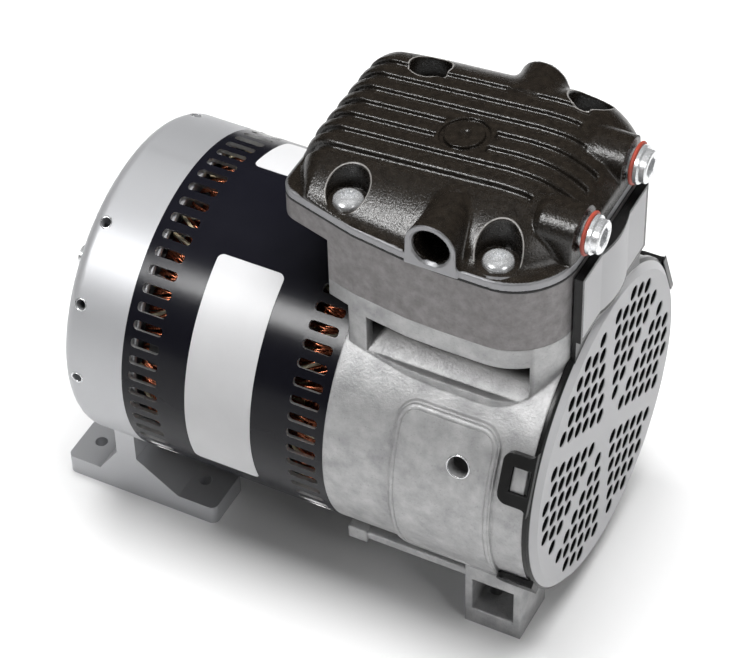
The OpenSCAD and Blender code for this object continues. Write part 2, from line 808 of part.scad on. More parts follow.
module plug_gaskets() color("#b8402c") {
    for (s = [-1, 1]) difference() {
        rod_x(plug_gasket_r, seam_x + boss_face, seam_x + boss_face + plug_gasket_t,
              s * plug_y, head_z + plug_rise);
        rod_x(plug_bore_r, seam_x + boss_face - over, seam_x + boss_face + plug_gasket_t + over,
              s * plug_y, head_z + plug_rise);
    }
}

// Reed valves: spring steel strips held by screws, with a stop over the exhaust reed
reed_t = 0.4;
reed_w = 8;
reed_tail = 2.6;
reed_gap = 0.1;
reed_l = valve_r + 1;
stop_t = 1;
stop_rise = 2.2;
module reed_outline() {
    difference() {
        union() {
            translate([cyl_x, 0]) circle(r = reed_l, $fn = round_fn);
            translate([cyl_x - reed_hole_back - reed_tail, -reed_w / 2])
                square([reed_hole_back + reed_tail, reed_w]);
        }
        translate([cyl_x - reed_hole_back, 0]) circle(r = reed_screw_r + run_gap, $fn = round_fn);
    }
}

module intake_reed() color("lightsteelblue") {
    translate([0, -valve_y, deck_bottom - reed_gap - reed_t]) linear_extrude(reed_t) reed_outline();
}

module exhaust_reed() color("lightsteelblue") {
    translate([0, valve_y, deck_top + reed_gap]) linear_extrude(reed_t) reed_outline();
}

module valve_stop() color("silver") {
    base = deck_top + 2 * reed_gap + reed_t + run_gap;
    difference() {
        across(valve_y - reed_w / 2, valve_y + reed_w / 2) polygon([
            [cyl_x - reed_hole_back - reed_tail, base], [cyl_x - reed_hole_back + reed_tail, base],
            [cyl_x + reed_l, base + stop_rise], [cyl_x + reed_l, base + stop_rise + stop_t],
            [cyl_x - reed_hole_back + reed_tail, base + stop_t],
            [cyl_x - reed_hole_back - reed_tail, base + stop_t]]);
        rod_z(reed_screw_r + reed_gap, base - over, base + stop_t + over, cyl_x - reed_hole_back, valve_y);
    }
}

module valve_screws() color("silver") {
    top = deck_top + 2 * reed_gap + reed_t + run_gap;
    rod_z(reed_screw_r, deck_bottom, top + stop_t, cyl_x - reed_hole_back, valve_y);
    rod_z(2 * reed_screw_r, top + stop_t, top + 2 * stop_t, cyl_x - reed_hole_back, valve_y);
    low = deck_bottom - 2 * reed_gap - reed_t - run_gap;
    rod_z(reed_screw_r, low, deck_top, cyl_x - reed_hole_back, -valve_y);
    rod_z(2 * reed_screw_r, low - stop_t, low, cyl_x - reed_hole_back, -valve_y);
}

// Cover: perforated disc, raised rim, hood up to the head, and snap tabs
cover_t = 2.4;
face_r = barrel_r - 3.5;
rim_round = 3;
rim_r = barrel_r + 0.6;
rim_back = case_end;
floor_x = face_x - 3.4;
hood_bulge = 1.8;
hood_bulge_half = 12;
hood_low = case_top - 4.5;
hood_wall = 1.6;
first_column = 2;
column_count = 6;
grille_pitch = barrel_r * grille_share;
grille_hole_d = grille_pitch * grille_open;

// One sector of grille holes: a triangle of holes, then three more at the rim
module grille_sector() {
    step = grille_pitch * cos(30);
    for (n = [1:column_count], k = [0:n - 1])
        translate([(first_column + n - 1) * step, (k - (n - 1) / 2) * grille_pitch])
            circle(d = grille_hole_d, $fn = 24);
    for (k = [-1:1]) translate([(first_column + column_count) * step, k * grille_pitch])
        circle(d = grille_hole_d, $fn = 24);
}

module hood_section() {
    chord = hood_bulge_half;
    r = (pow(chord, 2) + pow(hood_bulge, 2)) / (2 * hood_bulge);
    translate([seam_x + floor_x, -hood_half_w]) square([face_x - floor_x, 2 * hood_half_w]);
    intersection() {
        translate([seam_x + face_x + hood_bulge - r, 0]) circle(r = r, $fn = round_fn);
        translate([seam_x + floor_x, -chord]) square([face_x, 2 * chord]);
    }
}

// A tongue off the rim, with a round end and hollow corners at the rim when it has a flare
module cover_tab(s, angle, l, half_w, r, flare) {
    front = seam_x + face_x - cover_t;
    back = front - l;
    mirror([0, s < 0 ? 1 : 0, 0]) translate([0, 0, axis_h]) rotate([angle, 0, 0])
        across(barrel_r + run_gap, barrel_r + run_gap + tab_t) polygon(concat(
            flare > 0 ? arc([front - flare, half_w + flare], flare, 0, -90, corner_steps / 2)
                      : [[front, half_w]],
            arc([back + r, half_w - r], r, 90, 180, corner_steps / 2),
            arc([back + r, r - half_w], r, 180, 270, corner_steps / 2),
            flare > 0 ? arc([front - flare, -half_w - flare], flare, 90, 0, corner_steps / 2)
                      : [[front, -half_w]]));
}

module fan_cover() color("#bfbfc3") {
    difference() {
        union() {
            turned([[seam_x + face_x - cover_t, 0], [seam_x + face_x, 0], [seam_x + face_x, face_r],
                    [seam_x + face_x - rim_round, rim_r], [rim_back, rim_r],
                    [rim_back, barrel_r - case_wall], [seam_x + face_x - cover_t, barrel_r - case_wall]]);
            translate([0, 0, axis_h + sqrt(pow(barrel_r, 2) - pow(hood_half_w, 2)) - rim_round])
                linear_extrude(hood_low - sqrt(pow(barrel_r, 2) - pow(hood_half_w, 2)) + rim_round + over)
                    translate([seam_x + floor_x, -hood_half_w]) square([hood_wall, 2 * hood_half_w]);
            translate([0, 0, axis_h + hood_low]) linear_extrude(hood_top - hood_low) hood_section();
            for (s = [-1, 1]) {
                cover_tab(s, tab_angle, tab_l, tab_half_w, tab_round, tab_flare);
                cover_tab(s, hook_angle, hook_l, hook_half_w, hook_half_w - run_gap, 0);
            }
        }
        for (s = [-1, 1]) {
            side_block(s, tab_angle, seam_x + tab_x - run_gap, seam_x + tab_x + tab_window_l,
                       tab_window_w / 2, barrel_r, barrel_r + 2 * tab_t);
            for (side = [-1, 1]) mirror([0, s < 0 ? 1 : 0, 0]) translate([0, 0, axis_h])
                rotate([hook_angle, 0, 0]) translate([0, 0, side * (hook_half_w + hook_slot_w / 2)])
                    box([case_end - over, barrel_r - case_wall / 2, -hook_slot_w / 2 - run_gap],
                        [seam_x + face_x - cover_t - hook_slot_w / 2, barrel_r + 2 * tab_t,
                         hook_slot_w / 2 + run_gap]);
        }
        for (a = [0:60:359]) rotate_about_shaft(a)
            along(seam_x + face_x - cover_t - over, seam_x + face_x + over)
                grille_sector();
    }
}

// Bearings: an outer and an inner ring each, with the running gap where the balls roll
race_t = 3;
ball_r = 2.2;
module bearing_outer(r, w, x, z = axis_h) {
    ring_x(r, r - race_t, x, x + w, z);
}

module bearing_inner(r_out, r_in, w, x, z = axis_h) {
    ring_x(r_out, r_in, x, x + w, z);
}

rear_bearing_x = -bell_l + bell_wall + rear_hub_l - bearing_w;
washer_t = 1;
module front_bearing_outer() color("silver") bearing_outer(bearing_r, bearing_w, seam_x + bearing_seat);
module rear_bearing_outer() color("silver") bearing_outer(bearing_r, bearing_w, seam_x + rear_bearing_x);
module front_bearing_inner() color("lightgray")
    bearing_inner(bearing_r - race_t - run_gap, shaft_r, bearing_w, seam_x + bearing_seat);
module rear_bearing_inner() color("lightgray")
    bearing_inner(bearing_r - race_t - run_gap, shaft_r, bearing_w, seam_x + rear_bearing_x);

module wave_washer() color("silver")
    ring_x(bearing_r - washer_t, bearing_r - race_t, seam_x + rear_bearing_x - washer_t,
           seam_x + rear_bearing_x);

// Shaft, rotor and what turns with them
fan_x = bore_x + 28;
fan_share = 0.6545;
fan_hub_l = (shell_l + case_l - fan_x) * fan_share;
shaft_end = fan_x + fan_hub_l + 4.5;
rotor_ring_l = 6;
rotor_ring_in = 17;
module shaft() color("silver") {
    difference() {
        rod_x(shaft_r, seam_x + rear_bearing_x, seam_x + shaft_end);
        ring_x(shaft_r + over, shaft_r - clip_t, seam_x + shaft_end - 3 * clip_t,
               seam_x + shaft_end - 2 * clip_t);
    }
}

module rotor_core() color("slategray")
    ring_x(stator_bore_r - rotor_gap, shaft_r, seam_x + stator_back, seam_x + stator_front);

module rotor_end_rings() color("gainsboro") {
    for (x = [stator_back - rotor_ring_l, stator_front])
        ring_x(stator_bore_r - 3 * rotor_gap, rotor_ring_in, seam_x + x, seam_x + x + rotor_ring_l);
}

// Eccentric: a disc set off the shaft, with a counterweight on the far side
ecc_back = bore_x - 9.5;
ecc_front = bore_x + 9.5;
ecc_r = 15;
weight_x = bore_x + 5.5;
weight_r = 26;
weight_cut = 4;
module eccentric() color("darkgray") {
    difference() {
        union() {
            rod_x(ecc_r, seam_x + ecc_back, seam_x + weight_x, 0, axis_h + throw);
            difference() {
                rod_x(weight_r, seam_x + weight_x, seam_x + ecc_front);
                box([seam_x + weight_x - over, -weight_r, axis_h + weight_cut],
                    [seam_x + ecc_front + over, weight_r, axis_h + weight_r + over]);
            }
            rod_x(ecc_r, seam_x + weight_x, seam_x + ecc_front);
        }
        rod_x(shaft_r, seam_x + ecc_back - over, seam_x + ecc_front + over);
        rod_z(set_screw_r, axis_h - weight_r - over, axis_h, seam_x + (weight_x + ecc_front) / 2, 0);
    }
}
set_screw_r = 1.6;
module eccentric_screw() color("dimgray")
    rod_z(set_screw_r, axis_h - weight_r + over, axis_h - shaft_r,
          seam_x + (weight_x + ecc_front) / 2, 0);

// Front fan: a hub with slanted blades
fan_hub_r = 15;
fan_r = barrel_r - 12;
blade_t = 1.6;
blade_slant = 35;
blade_w = 24;
module front_fan() color("#33363a") {
    difference() {
        union() {
            rod_x(fan_hub_r, seam_x + fan_x, seam_x + fan_x + fan_hub_l);
            intersection() {
                for (i = [0:fan_blades - 1]) rotate_about_shaft(i * 360 / fan_blades)
                    translate([seam_x + fan_x + fan_hub_l / 2, 0, 0]) rotate([0, 0, blade_slant])
                        box([-blade_w / 2, -blade_t / 2, shaft_r + over], [blade_w / 2, blade_t / 2, fan_r + over]);
                ring_x(fan_r, fan_hub_r - over, seam_x + fan_x, seam_x + fan_x + fan_hub_l);
            }
        }
        rod_x(shaft_r, seam_x + fan_x - over, seam_x + fan_x + fan_hub_l + over);
    }
}

clip_t = 1.2;
module fan_clip() color("dimgray")
    ring_x(shaft_r + clip_t, shaft_r - clip_t, seam_x + shaft_end - 3 * clip_t,
           seam_x + shaft_end - 2 * clip_t);

// Connecting rod with the piston made in one with it
rod_bearing_w = 9;
rod_bearing_r = 23.5;
rod_race_r = 19;
rod_x0 = bore_x - 4.5;
big_end_r = 28;
shank_w = 15;
piston_r = bore_r - throw - run_gap;
piston_t = 6;
piston_top = deck_bottom - 6;
retainer_t = 2.2;
cup_t = 1.2;
pin_z = axis_h + throw;
module rod_bearing_inner() color("lightgray")
    bearing_inner(rod_race_r, ecc_r, rod_bearing_w, seam_x + rod_x0, pin_z);

module rod_bearing_outer() color("silver")
    ring_x(rod_bearing_r, rod_race_r + run_gap, seam_x + rod_x0, seam_x + rod_x0 + rod_bearing_w, pin_z);

module connecting_rod() color("gainsboro") {
    seat = piston_top - retainer_t - cup_t;
    difference() {
        union() {
            rod_x(big_end_r, seam_x + rod_x0, seam_x + rod_x0 + rod_bearing_w, 0, pin_z);
            box([seam_x + rod_x0, -shank_w / 2, pin_z + rod_bearing_r],
                [seam_x + rod_x0 + rod_bearing_w, shank_w / 2, seat - piston_t / 2]);
            rod_z(piston_r - cup_t, seat - piston_t, seat, cyl_x, 0);
        }
        rod_x(rod_bearing_r, seam_x + rod_x0 - over, seam_x + rod_x0 + rod_bearing_w + over, 0, pin_z);
        rod_z(socket_r, seat - 2 * piston_t, seat + over, cyl_x, 0);
    }
}

module cup_seal() color("#6b5a3e") {
    seat = piston_top - retainer_t - cup_t;
    difference() {
        rod_z(piston_r, seat, seat + cup_t + retainer_t / 2, cyl_x, 0);
        rod_z(piston_r - cup_t, seat + cup_t, seat + cup_t + retainer_t, cyl_x, 0);
        rod_z(socket_r, seat - over, seat + cup_t + over, cyl_x, 0);
    }
}

module cup_retainer() color("silver") {
    difference() {
        rod_z(piston_r - cup_t, piston_top - retainer_t, piston_top, cyl_x, 0);
        rod_z(socket_r, piston_top - retainer_t - over, piston_top + over, cyl_x, 0);
    }
}

module retainer_screw() color("dimgray") {
    rod_z(socket_r, piston_top - retainer_t - cup_t - piston_t, piston_top, cyl_x, 0);
    rod_z(2 * socket_r, piston_top, piston_top + stop_t, cyl_x, 0);
}

crankcase();
rear_end_bell();
motor_shell();
stator_core();
rear_winding();
front_winding();
slot_insulation();
thermal_protector();
cylinder_sleeve();
sleeve_seal();
valve_plate();
head_gasket();
cylinder_head();
head_screws();
port_plugs();
plug_gaskets();
fan_cover();
front_bearing_outer();
rear_bearing_outer();
wave_washer();
through_bolts();
side_label();
top_label();
valve_stop();
valve_screws();
intake_reed();
exhaust_reed();
shaft();
rotor_core();
rotor_end_rings();
eccentric();
eccentric_screw();
front_fan();
fan_clip();
front_bearing_inner();
rear_bearing_inner();
rod_bearing_inner();
rod_bearing_outer();
connecting_rod();
cup_seal();
cup_retainer();
retainer_screw();
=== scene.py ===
# %% [markdown]
# # A rocking piston air compressor
#
# This lesson dresses a small workshop compressor: a slotted black motor, a cast aluminium case with
# feet, a ribbed black head and a perforated cover. The solids come in as a fixed frame, each at its
# true place, and this file gives them finishes, and rebuilds the forms that castings and windings
# need. Everything is in metres in the frame of the solids: X along the shaft, Y across, Z up.

# %% Load the frame
import math

import bmesh
import bpy
import numpy as np
from mathutils import Matrix, Vector


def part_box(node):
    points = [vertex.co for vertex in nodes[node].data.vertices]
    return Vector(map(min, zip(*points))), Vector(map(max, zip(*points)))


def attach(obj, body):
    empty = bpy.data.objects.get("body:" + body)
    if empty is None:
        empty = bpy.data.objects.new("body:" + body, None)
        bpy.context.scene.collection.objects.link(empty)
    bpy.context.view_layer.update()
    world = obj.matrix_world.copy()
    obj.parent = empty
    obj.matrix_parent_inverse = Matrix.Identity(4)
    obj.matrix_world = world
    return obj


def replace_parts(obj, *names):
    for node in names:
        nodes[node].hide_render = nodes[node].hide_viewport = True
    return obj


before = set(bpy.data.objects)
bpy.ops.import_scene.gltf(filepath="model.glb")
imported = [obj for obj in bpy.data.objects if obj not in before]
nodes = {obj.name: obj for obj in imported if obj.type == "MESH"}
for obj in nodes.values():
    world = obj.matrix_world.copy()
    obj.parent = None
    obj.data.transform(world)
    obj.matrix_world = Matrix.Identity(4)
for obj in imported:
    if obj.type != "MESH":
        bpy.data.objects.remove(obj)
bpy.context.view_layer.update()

# %% [markdown]
# ## Places along the shaft
#
# On the real machine everything is set from the joint between the rear end bell and the motor shell,
# so this file counts from that seam too. `SEAM` is its place in the frame.

# %% Seam and helpers for millimetres
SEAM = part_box("motor_shell")[0][0]
AXIS_Z = sum(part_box("rotor_core")[i][2] for i in (0, 1)) / 2
MM = 0.001


def to_frame(points):
    """Points in millimetres from the seam, as metres in the frame: scale, then add the seam to x."""
    out = np.asarray(points, float) * MM
    out[..., 0] += SEAM
    return out


print("seam", round(SEAM, 5), "shaft height", round(AXIS_Z, 5))

# %% [markdown]
# ## The camera
#
# The viewpoint was worked out from round and straight edges in the photograph: it looks down from 44
# degrees, 28 degrees round to the cover's side, through a long lens. A matrix made from the three
# camera directions is surer than aiming with a constraint.

# %% Camera
CAMERA_AT = Vector((461.7 * MM + SEAM, -720.7 * MM, 884.2 * MM))
turn, lift, roll = math.radians(28.36), math.radians(44.37), math.radians(-1.70)
right = Vector((math.cos(turn), math.sin(turn), 0))
back = Vector((math.sin(turn) * math.cos(lift), -math.cos(turn) * math.cos(lift), math.sin(lift)))
up = back.cross(right)
rolled_right = math.cos(roll) * right + math.sin(roll) * up
rolled_up = math.cos(roll) * up - math.sin(roll) * right
camera_data = bpy.data.cameras.new("photo_camera")
FOCAL_PIXELS, FRAME_PIXELS, SENSOR = 2939.09, 735, 36
camera_data.sensor_width = SENSOR
camera_data.lens = FOCAL_PIXELS / FRAME_PIXELS * SENSOR
camera_data.clip_start, camera_data.clip_end = 0.05, 20
camera = bpy.data.objects.new("photo_camera", camera_data)
bpy.context.scene.collection.objects.link(camera)
pose = Matrix((rolled_right, rolled_up, back)).transposed().to_4x4()
pose.translation = CAMERA_AT
camera.matrix_world = pose
bpy.context.scene.camera = camera
bpy.context.scene.view_settings.view_transform = "Standard"
print("lens", round(camera_data.lens, 2))

# %% [markdown]
# ## Small tools for materials
#
# Every finish is a set of nodes. These helpers make a node, join sockets, stretch a range or do a sum
# in one line each, so that a material reads as a list of its ideas.


# %% Node helpers
def add(tree, kind, **values):
    """A new node of that kind; values set its inputs by name, or its own settings."""
    node = tree.nodes.new(kind)
    for name, value in values.items():
        label = name.replace("_", " ")
        socket = next((s for s in node.inputs if s.name.lower() == label.lower()), None)
        if socket is None or hasattr(node, name):
            setattr(node, name, value)
        else:
            socket.default_value = value
    return node


def link(tree, source, target):
    """Joins an output to an input; each is (node, socket name or number)."""
    tree.links.new(source[0].outputs[source[1]], target[0].inputs[target[1]])


def ranged(tree, value, low=0.0, high=1.0, out_low=0.0, out_high=1.0):
    """A socket that runs from out_low to out_high while the socket value runs from low to high."""
    node = add(tree, "ShaderNodeMapRange")
    for name, number in (("From Min", low), ("From Max", high), ("To Min", out_low), ("To Max", out_high)):
        node.inputs[name].default_value = number
    link(tree, value, (node, "Value"))
    return node, 0


def math_of(tree, operation, *sides):
    """A chain of arithmetic nodes from the first side to the last; each is a socket or a number."""
    result = sides[0]
    for other in sides[1:] or (0.0,):
        node = add(tree, "ShaderNodeMath", operation=operation)
        for i, side in enumerate((result, other)):
            if isinstance(side, tuple):
                link(tree, side, (node, i))
            else:
                node.inputs[i].default_value = side
        result = (node, 0)
    return result


def finish_of(name, colour, metallic=0.0, roughness=0.5, **more):
    """A material with one Principled shader, its constants set on the shader's own sockets."""
    material = bpy.data.materials.new(name)
    material.use_nodes = True
    tree = material.node_tree
    shader = tree.nodes["Principled BSDF"]
    shader.inputs["Base Color"].default_value = (*colour, 1)
    shader.inputs["Metallic"].default_value = metallic
    shader.inputs["Roughness"].default_value = roughness
    for key, value in more.items():
        shader.inputs[key.replace("_", " ")].default_value = value
    return material, tree, shader


# %% [markdown]
# ## Shared surface effects
#
# Sand-cast and die-cast metal is never one even tone: it is cloudy at the scale of a fingertip and
# grainy at the scale of a pinhead. One group makes both from noise at two sizes, and every cast,
# painted and moulded finish uses it with its own values. A second group adds the fine parallel
# lines that a lathe leaves round an axis.


# %% Node group: clouds and grain
PIT_SCALE, PIT_COLOUR = 1300, (0.05, 0.05, 0.05)


def make_skin_group():
    """Coarse noise mixes two tones, fine noise two roughnesses, and a third makes dark pits."""
    group = bpy.data.node_groups.new("clouds_and_grain", "ShaderNodeTree")
    for name, way, kind in (("Cloud Scale", "INPUT", "Float"), ("Grain Scale", "INPUT", "Float"),
                            ("Dark", "INPUT", "Color"), ("Light", "INPUT", "Color"),
                            ("Smooth", "INPUT", "Float"), ("Rough", "INPUT", "Float"),
                            ("Specks", "INPUT", "Float"), ("Colour", "OUTPUT", "Color"),
                            ("Roughness", "OUTPUT", "Float"), ("Grain", "OUTPUT", "Float")):
        group.interface.new_socket(name=name, in_out=way, socket_type="NodeSocket" + kind)
    source, sink = add(group, "NodeGroupInput"), add(group, "NodeGroupOutput")
    place = add(group, "ShaderNodeTexCoord")
    cloud = add(group, "ShaderNodeTexNoise", detail=5, roughness=0.62)
    grain = add(group, "ShaderNodeTexNoise", detail=3, roughness=0.6)
    for noise, size in ((cloud, "Cloud Scale"), (grain, "Grain Scale")):
        link(group, (place, "Object"), (noise, "Vector"))
        link(group, (source, size), (noise, "Scale"))
    mix = add(group, "ShaderNodeMix", data_type="RGBA")
    link(group, ranged(group, (cloud, 0), 0.3, 0.7), (mix, 0))
    link(group, (source, "Dark"), (mix, 6))
    link(group, (source, "Light"), (mix, 7))
    tone = add(group, "ShaderNodeMix", data_type="FLOAT")
    link(group, (grain, 0), (tone, 0))
    link(group, (source, "Smooth"), (tone, 2))
    link(group, (source, "Rough"), (tone, 3))
    pits = add(group, "ShaderNodeTexNoise", detail=2, roughness=0.5)
    link(group, (place, "Object"), (pits, "Vector"))
    pits.inputs["Scale"].default_value = PIT_SCALE
    share = math_of(group, "MULTIPLY", ranged(group, (pits, 0), 0.60, 0.80), (source, "Specks"))
    spotted = add(group, "ShaderNodeMix", data_type="RGBA")
    link(group, share, (spotted, 0))
    link(group, (mix, 2), (spotted, 6))
    spotted.inputs[7].default_value = (*PIT_COLOUR, 1)
    link(group, (spotted, 2), (sink, "Colour"))
    link(group, (tone, 0), (sink, "Roughness"))
    link(group, (grain, 0), (sink, "Grain"))
    return group


SKIN = make_skin_group()


def skin(name, dark, light, clouds, grain, smooth, rough, bump, metallic=0.0, edge=0.0,
         specks=0.0, **more):
    """A finish from the clouds-and-grain group: two tones, two roughnesses, and grain as relief."""
    material, tree, shader = finish_of(name, light, metallic, rough, **more)
    node = add(tree, "ShaderNodeGroup")
    node.node_tree = SKIN
    for key, value in (("Cloud Scale", clouds), ("Grain Scale", grain), ("Dark", (*dark, 1)),
                       ("Light", (*light, 1)), ("Smooth", smooth), ("Rough", rough), ("Specks", specks)):
        node.inputs[key].default_value = value
    link(tree, (node, "Colour"), (shader, "Base Color"))
    link(tree, (node, "Roughness"), (shader, "Roughness"))
    relief = add(tree, "ShaderNodeBump", strength=bump)
    relief.inputs["Distance"].default_value = 0.0003
    link(tree, (node, "Grain"), (relief, "Height"))
    if edge:
        rounding = add(tree, "ShaderNodeBevel", samples=4)
        rounding.inputs["Radius"].default_value = edge
        link(tree, (rounding, 0), (relief, "Normal"))
    link(tree, (relief, 0), (shader, "Normal"))
    return material


# %% Node group: lathe lines
def make_lathe_group():
    """Fine streaks that run round the shaft: noise of the place along the shaft alone."""
    group = bpy.data.node_groups.new("lathe_lines", "ShaderNodeTree")
    group.interface.new_socket(name="Lines", in_out="INPUT", socket_type="NodeSocketFloat")
    group.interface.new_socket(name="Value", in_out="OUTPUT", socket_type="NodeSocketFloat")
    source, sink = add(group, "NodeGroupInput"), add(group, "NodeGroupOutput")
    place = add(group, "ShaderNodeTexCoord")
    split = add(group, "ShaderNodeSeparateXYZ")
    link(group, (place, "Object"), (split, 0))
    lines = add(group, "ShaderNodeTexNoise", detail=4, roughness=0.7)
    lines.noise_dimensions = "1D"
    link(group, (split, 0), (lines, "W"))
    link(group, (source, "Lines"), (lines, "Scale"))
    link(group, (lines, 0), (sink, "Value"))
    return group


LATHE = make_lathe_group()

# %% [markdown]
# ## The finishes
#
# Colours are written as linear values. The head and shell are stove-enamelled black: the head's coat
# has a fine orange-peel texture that breaks highlights into sparkle, the shell's is smooth. The case
# is bare casting, the end bell is turned bright, and the screws are zinc plated.

# %% Painted, cast and moulded finishes
shell_paint = skin("shell_enamel", (0.006, 0.006, 0.009), (0.009, 0.009, 0.013), 30, 700,
                   0.17, 0.24, 0.03, Specular_IOR_Level=0.16)
CAST = dict(dark=(0.31, 0.31, 0.315), light=(0.51, 0.51, 0.51), clouds=120, grain=1100, smooth=0.36,
            rough=0.60, bump=0.45, metallic=0.5, edge=0.0012, specks=0.30)
cast_metal = skin("bare_casting", **CAST)
plate_metal = skin("valve_plate_casting", (0.165, 0.155, 0.155), (0.25, 0.24, 0.24), 260, 1300,
                   0.42, 0.60, 0.30, metallic=0.5, edge=0.0008, specks=0.22)
black_plastic = skin("black_plastic", (0.012, 0.012, 0.012), (0.02, 0.02, 0.02), 80, 1500,
                     0.40, 0.55, 0.08)
rubber_black = skin("black_rubber", (0.010, 0.010, 0.010), (0.016, 0.016, 0.016), 80, 1500, 0.6, 0.8, 0.1)
rubber_red = skin("red_rubber", (0.30, 0.045, 0.025), (0.40, 0.065, 0.04), 150, 1500, 0.45, 0.6, 0.1)
label_film = skin("blank_label", (0.62, 0.62, 0.63), (0.66, 0.66, 0.67), 40, 1500, 0.36, 0.46, 0.02)
liner_sheet = skin("liner_sheet", (0.50, 0.42, 0.26), (0.66, 0.58, 0.40), 120, 1500, 0.5, 0.7, 0.1)
lamination = skin("lamination", (0.06, 0.06, 0.065), (0.10, 0.10, 0.105), 200, 1500,
                  0.35, 0.55, 0.1, metallic=0.8)
zinc = skin("zinc_plate", (0.70, 0.71, 0.72), (0.92, 0.93, 0.94), 200, 2500,
            0.20, 0.32, 0.02, metallic=0.7)
steel = skin("ground_steel", (0.42, 0.43, 0.44), (0.55, 0.56, 0.57), 200, 2500,
             0.22, 0.38, 0.05, metallic=1.0)
copper = skin("copper_wire", (0.17, 0.045, 0.022), (0.44, 0.15, 0.075), 350, 1500,
              0.20, 0.36, 0.05, metallic=0.9)
cup_plastic = skin("cup_plastic", (0.11, 0.07, 0.035), (0.15, 0.10, 0.055), 200, 1500, 0.4, 0.6, 0.05)


def turned_metal(name, colour, lines, smooth, rough, metallic=0.85):
    """Bright turned aluminium: lathe lines move the roughness and leave a faint relief."""
    material, tree, shader = finish_of(name, colour, metallic, rough)
    node = add(tree, "ShaderNodeGroup")
    node.node_tree = LATHE
    node.inputs["Lines"].default_value = lines
    tone = ranged(tree, (node, "Value"), out_low=smooth, out_high=rough)
    link(tree, tone, (shader, "Roughness"))
    relief = add(tree, "ShaderNodeBump", strength=0.12)
    relief.inputs["Distance"].default_value = 0.0001
    link(tree, (node, "Value"), (relief, "Height"))
    link(tree, (relief, 0), (shader, "Normal"))
    return material


bell_metal = turned_metal("turned_bell", (0.50, 0.505, 0.52), 2500, 0.40, 0.54, 0.5)
bright_turned = turned_metal("turned_bright", (0.72, 0.73, 0.74), 2500, 0.16, 0.32)


# %% [markdown]
# ### The cover's painted reflection
#
# The front cover is one black moulding. Its flat front faces get a pale satin grey, a painted reflection
# of the bright floor, while its rim, tabs, hole walls and edges stay black. The paint goes by place: the
# front face lies in one plane, so depth behind that plane and distance from the hood's outline make the
# mask.


# %% Masks by place
def above(tree, value, edge, soft):
    """0 below edge and 1 above edge + soft, for the socket value."""
    return ranged(tree, value, edge, edge + soft)


def below(tree, value, edge, soft):
    """1 below edge and 0 above edge + soft, for the socket value."""
    return math_of(tree, "SUBTRACT", 1.0, above(tree, value, edge, soft))


def places_of(tree):
    """The point's x, y and z in Object coordinates, as three sockets."""
    place, split = add(tree, "ShaderNodeTexCoord"), add(tree, "ShaderNodeSeparateXYZ")
    link(tree, (place, "Object"), (split, 0))
    return (split, 0), (split, 1), (split, 2)


def length_of(tree, first, second):
    """The root of the sum of two squares."""
    squares = [math_of(tree, "MULTIPLY", side, side) for side in (first, second)]
    return math_of(tree, "POWER", math_of(tree, "ADD", *squares), 0.5)


def mix_in(material, socket, mask, value):
    """Leads the shader's socket over to value where mask is 1, and leaves what fed it elsewhere."""
    tree = material.node_tree
    target = tree.nodes["Principled BSDF"].inputs[socket]
    colour = isinstance(value, tuple)
    node = add(tree, "ShaderNodeMix", data_type="RGBA" if colour else "FLOAT")
    low, high, out = (6, 7, 2) if colour else (2, 3, 0)
    link(tree, mask, (node, 0))
    if target.links:
        tree.links.new(target.links[0].from_socket, node.inputs[low])
    else:
        node.inputs[low].default_value = target.default_value
    node.inputs[high].default_value = (*value, 1) if colour else value
    tree.links.new(node.outputs[out], target)


# %% Cover: painted reflection on the face, black edges
COVER_FACE, FACE_DEPTH, RIM_DEPTH = SEAM + 174.6 * MM, 0.45 * MM, 2.3 * MM
RIM_R, DISC_R = 61.5 * MM, 65.4 * MM
HOOD_HALF, HOOD_LOW, HOOD_TOP = 27.2 * MM, 145.9 * MM, 173.6 * MM


def make_cover_reflection_paint():
    """Black moulding with pale grey painted as a reflection where the point is on the front face, inside
    its outline.
    """
    material = skin("cover_black_reflection_painted", (0.010, 0.010, 0.010), (0.016, 0.016, 0.016), 60, 1200,
                    0.16, 0.24, 0.02, edge=0.0007, Specular_IOR_Level=0.18)
    tree = material.node_tree
    x, y, z = places_of(tree)
    radius = length_of(tree, y, math_of(tree, "SUBTRACT", z, AXIS_Z))
    front = above(tree, x, COVER_FACE - FACE_DEPTH, 0.1 * MM)
    rim = math_of(tree, "MULTIPLY", above(tree, x, COVER_FACE - RIM_DEPTH, 0.3 * MM),
                  above(tree, radius, RIM_R, 0.3 * MM))
    disc = below(tree, radius, DISC_R, 0.3 * MM)
    hood = math_of(tree, "MULTIPLY", above(tree, z, HOOD_LOW, 0.2 * MM),
                   below(tree, math_of(tree, "ABSOLUTE", y), HOOD_HALF, 0.2 * MM),
                   below(tree, z, HOOD_TOP, 0.2 * MM))
    area = math_of(tree, "MAXIMUM", disc, hood)
    reflection_mask = math_of(tree, "MULTIPLY", math_of(tree, "MAXIMUM", front, rim), area)
    # Painted reflection: pale satin grey on the black plastic's front faces, where they mirror the bright
    # floor.
    mix_in(material, "Base Color", reflection_mask, (0.48, 0.48, 0.49))
    mix_in(material, "Roughness", reflection_mask, 0.42)
    return material


cover_painted_sheen = make_cover_reflection_paint()
print("cover finish:", len(cover_painted_sheen.node_tree.nodes), "nodes")


# %% Case: shade painted on the casting inside its window
NECK_X, NECK_HALF, NECK_FOOT = SEAM + 120 * MM, 42 * MM, 118 * MM
WINDOW_SHADE_EDGE, WINDOW_SHADE_FADE = 37.5 * MM, 8.5 * MM


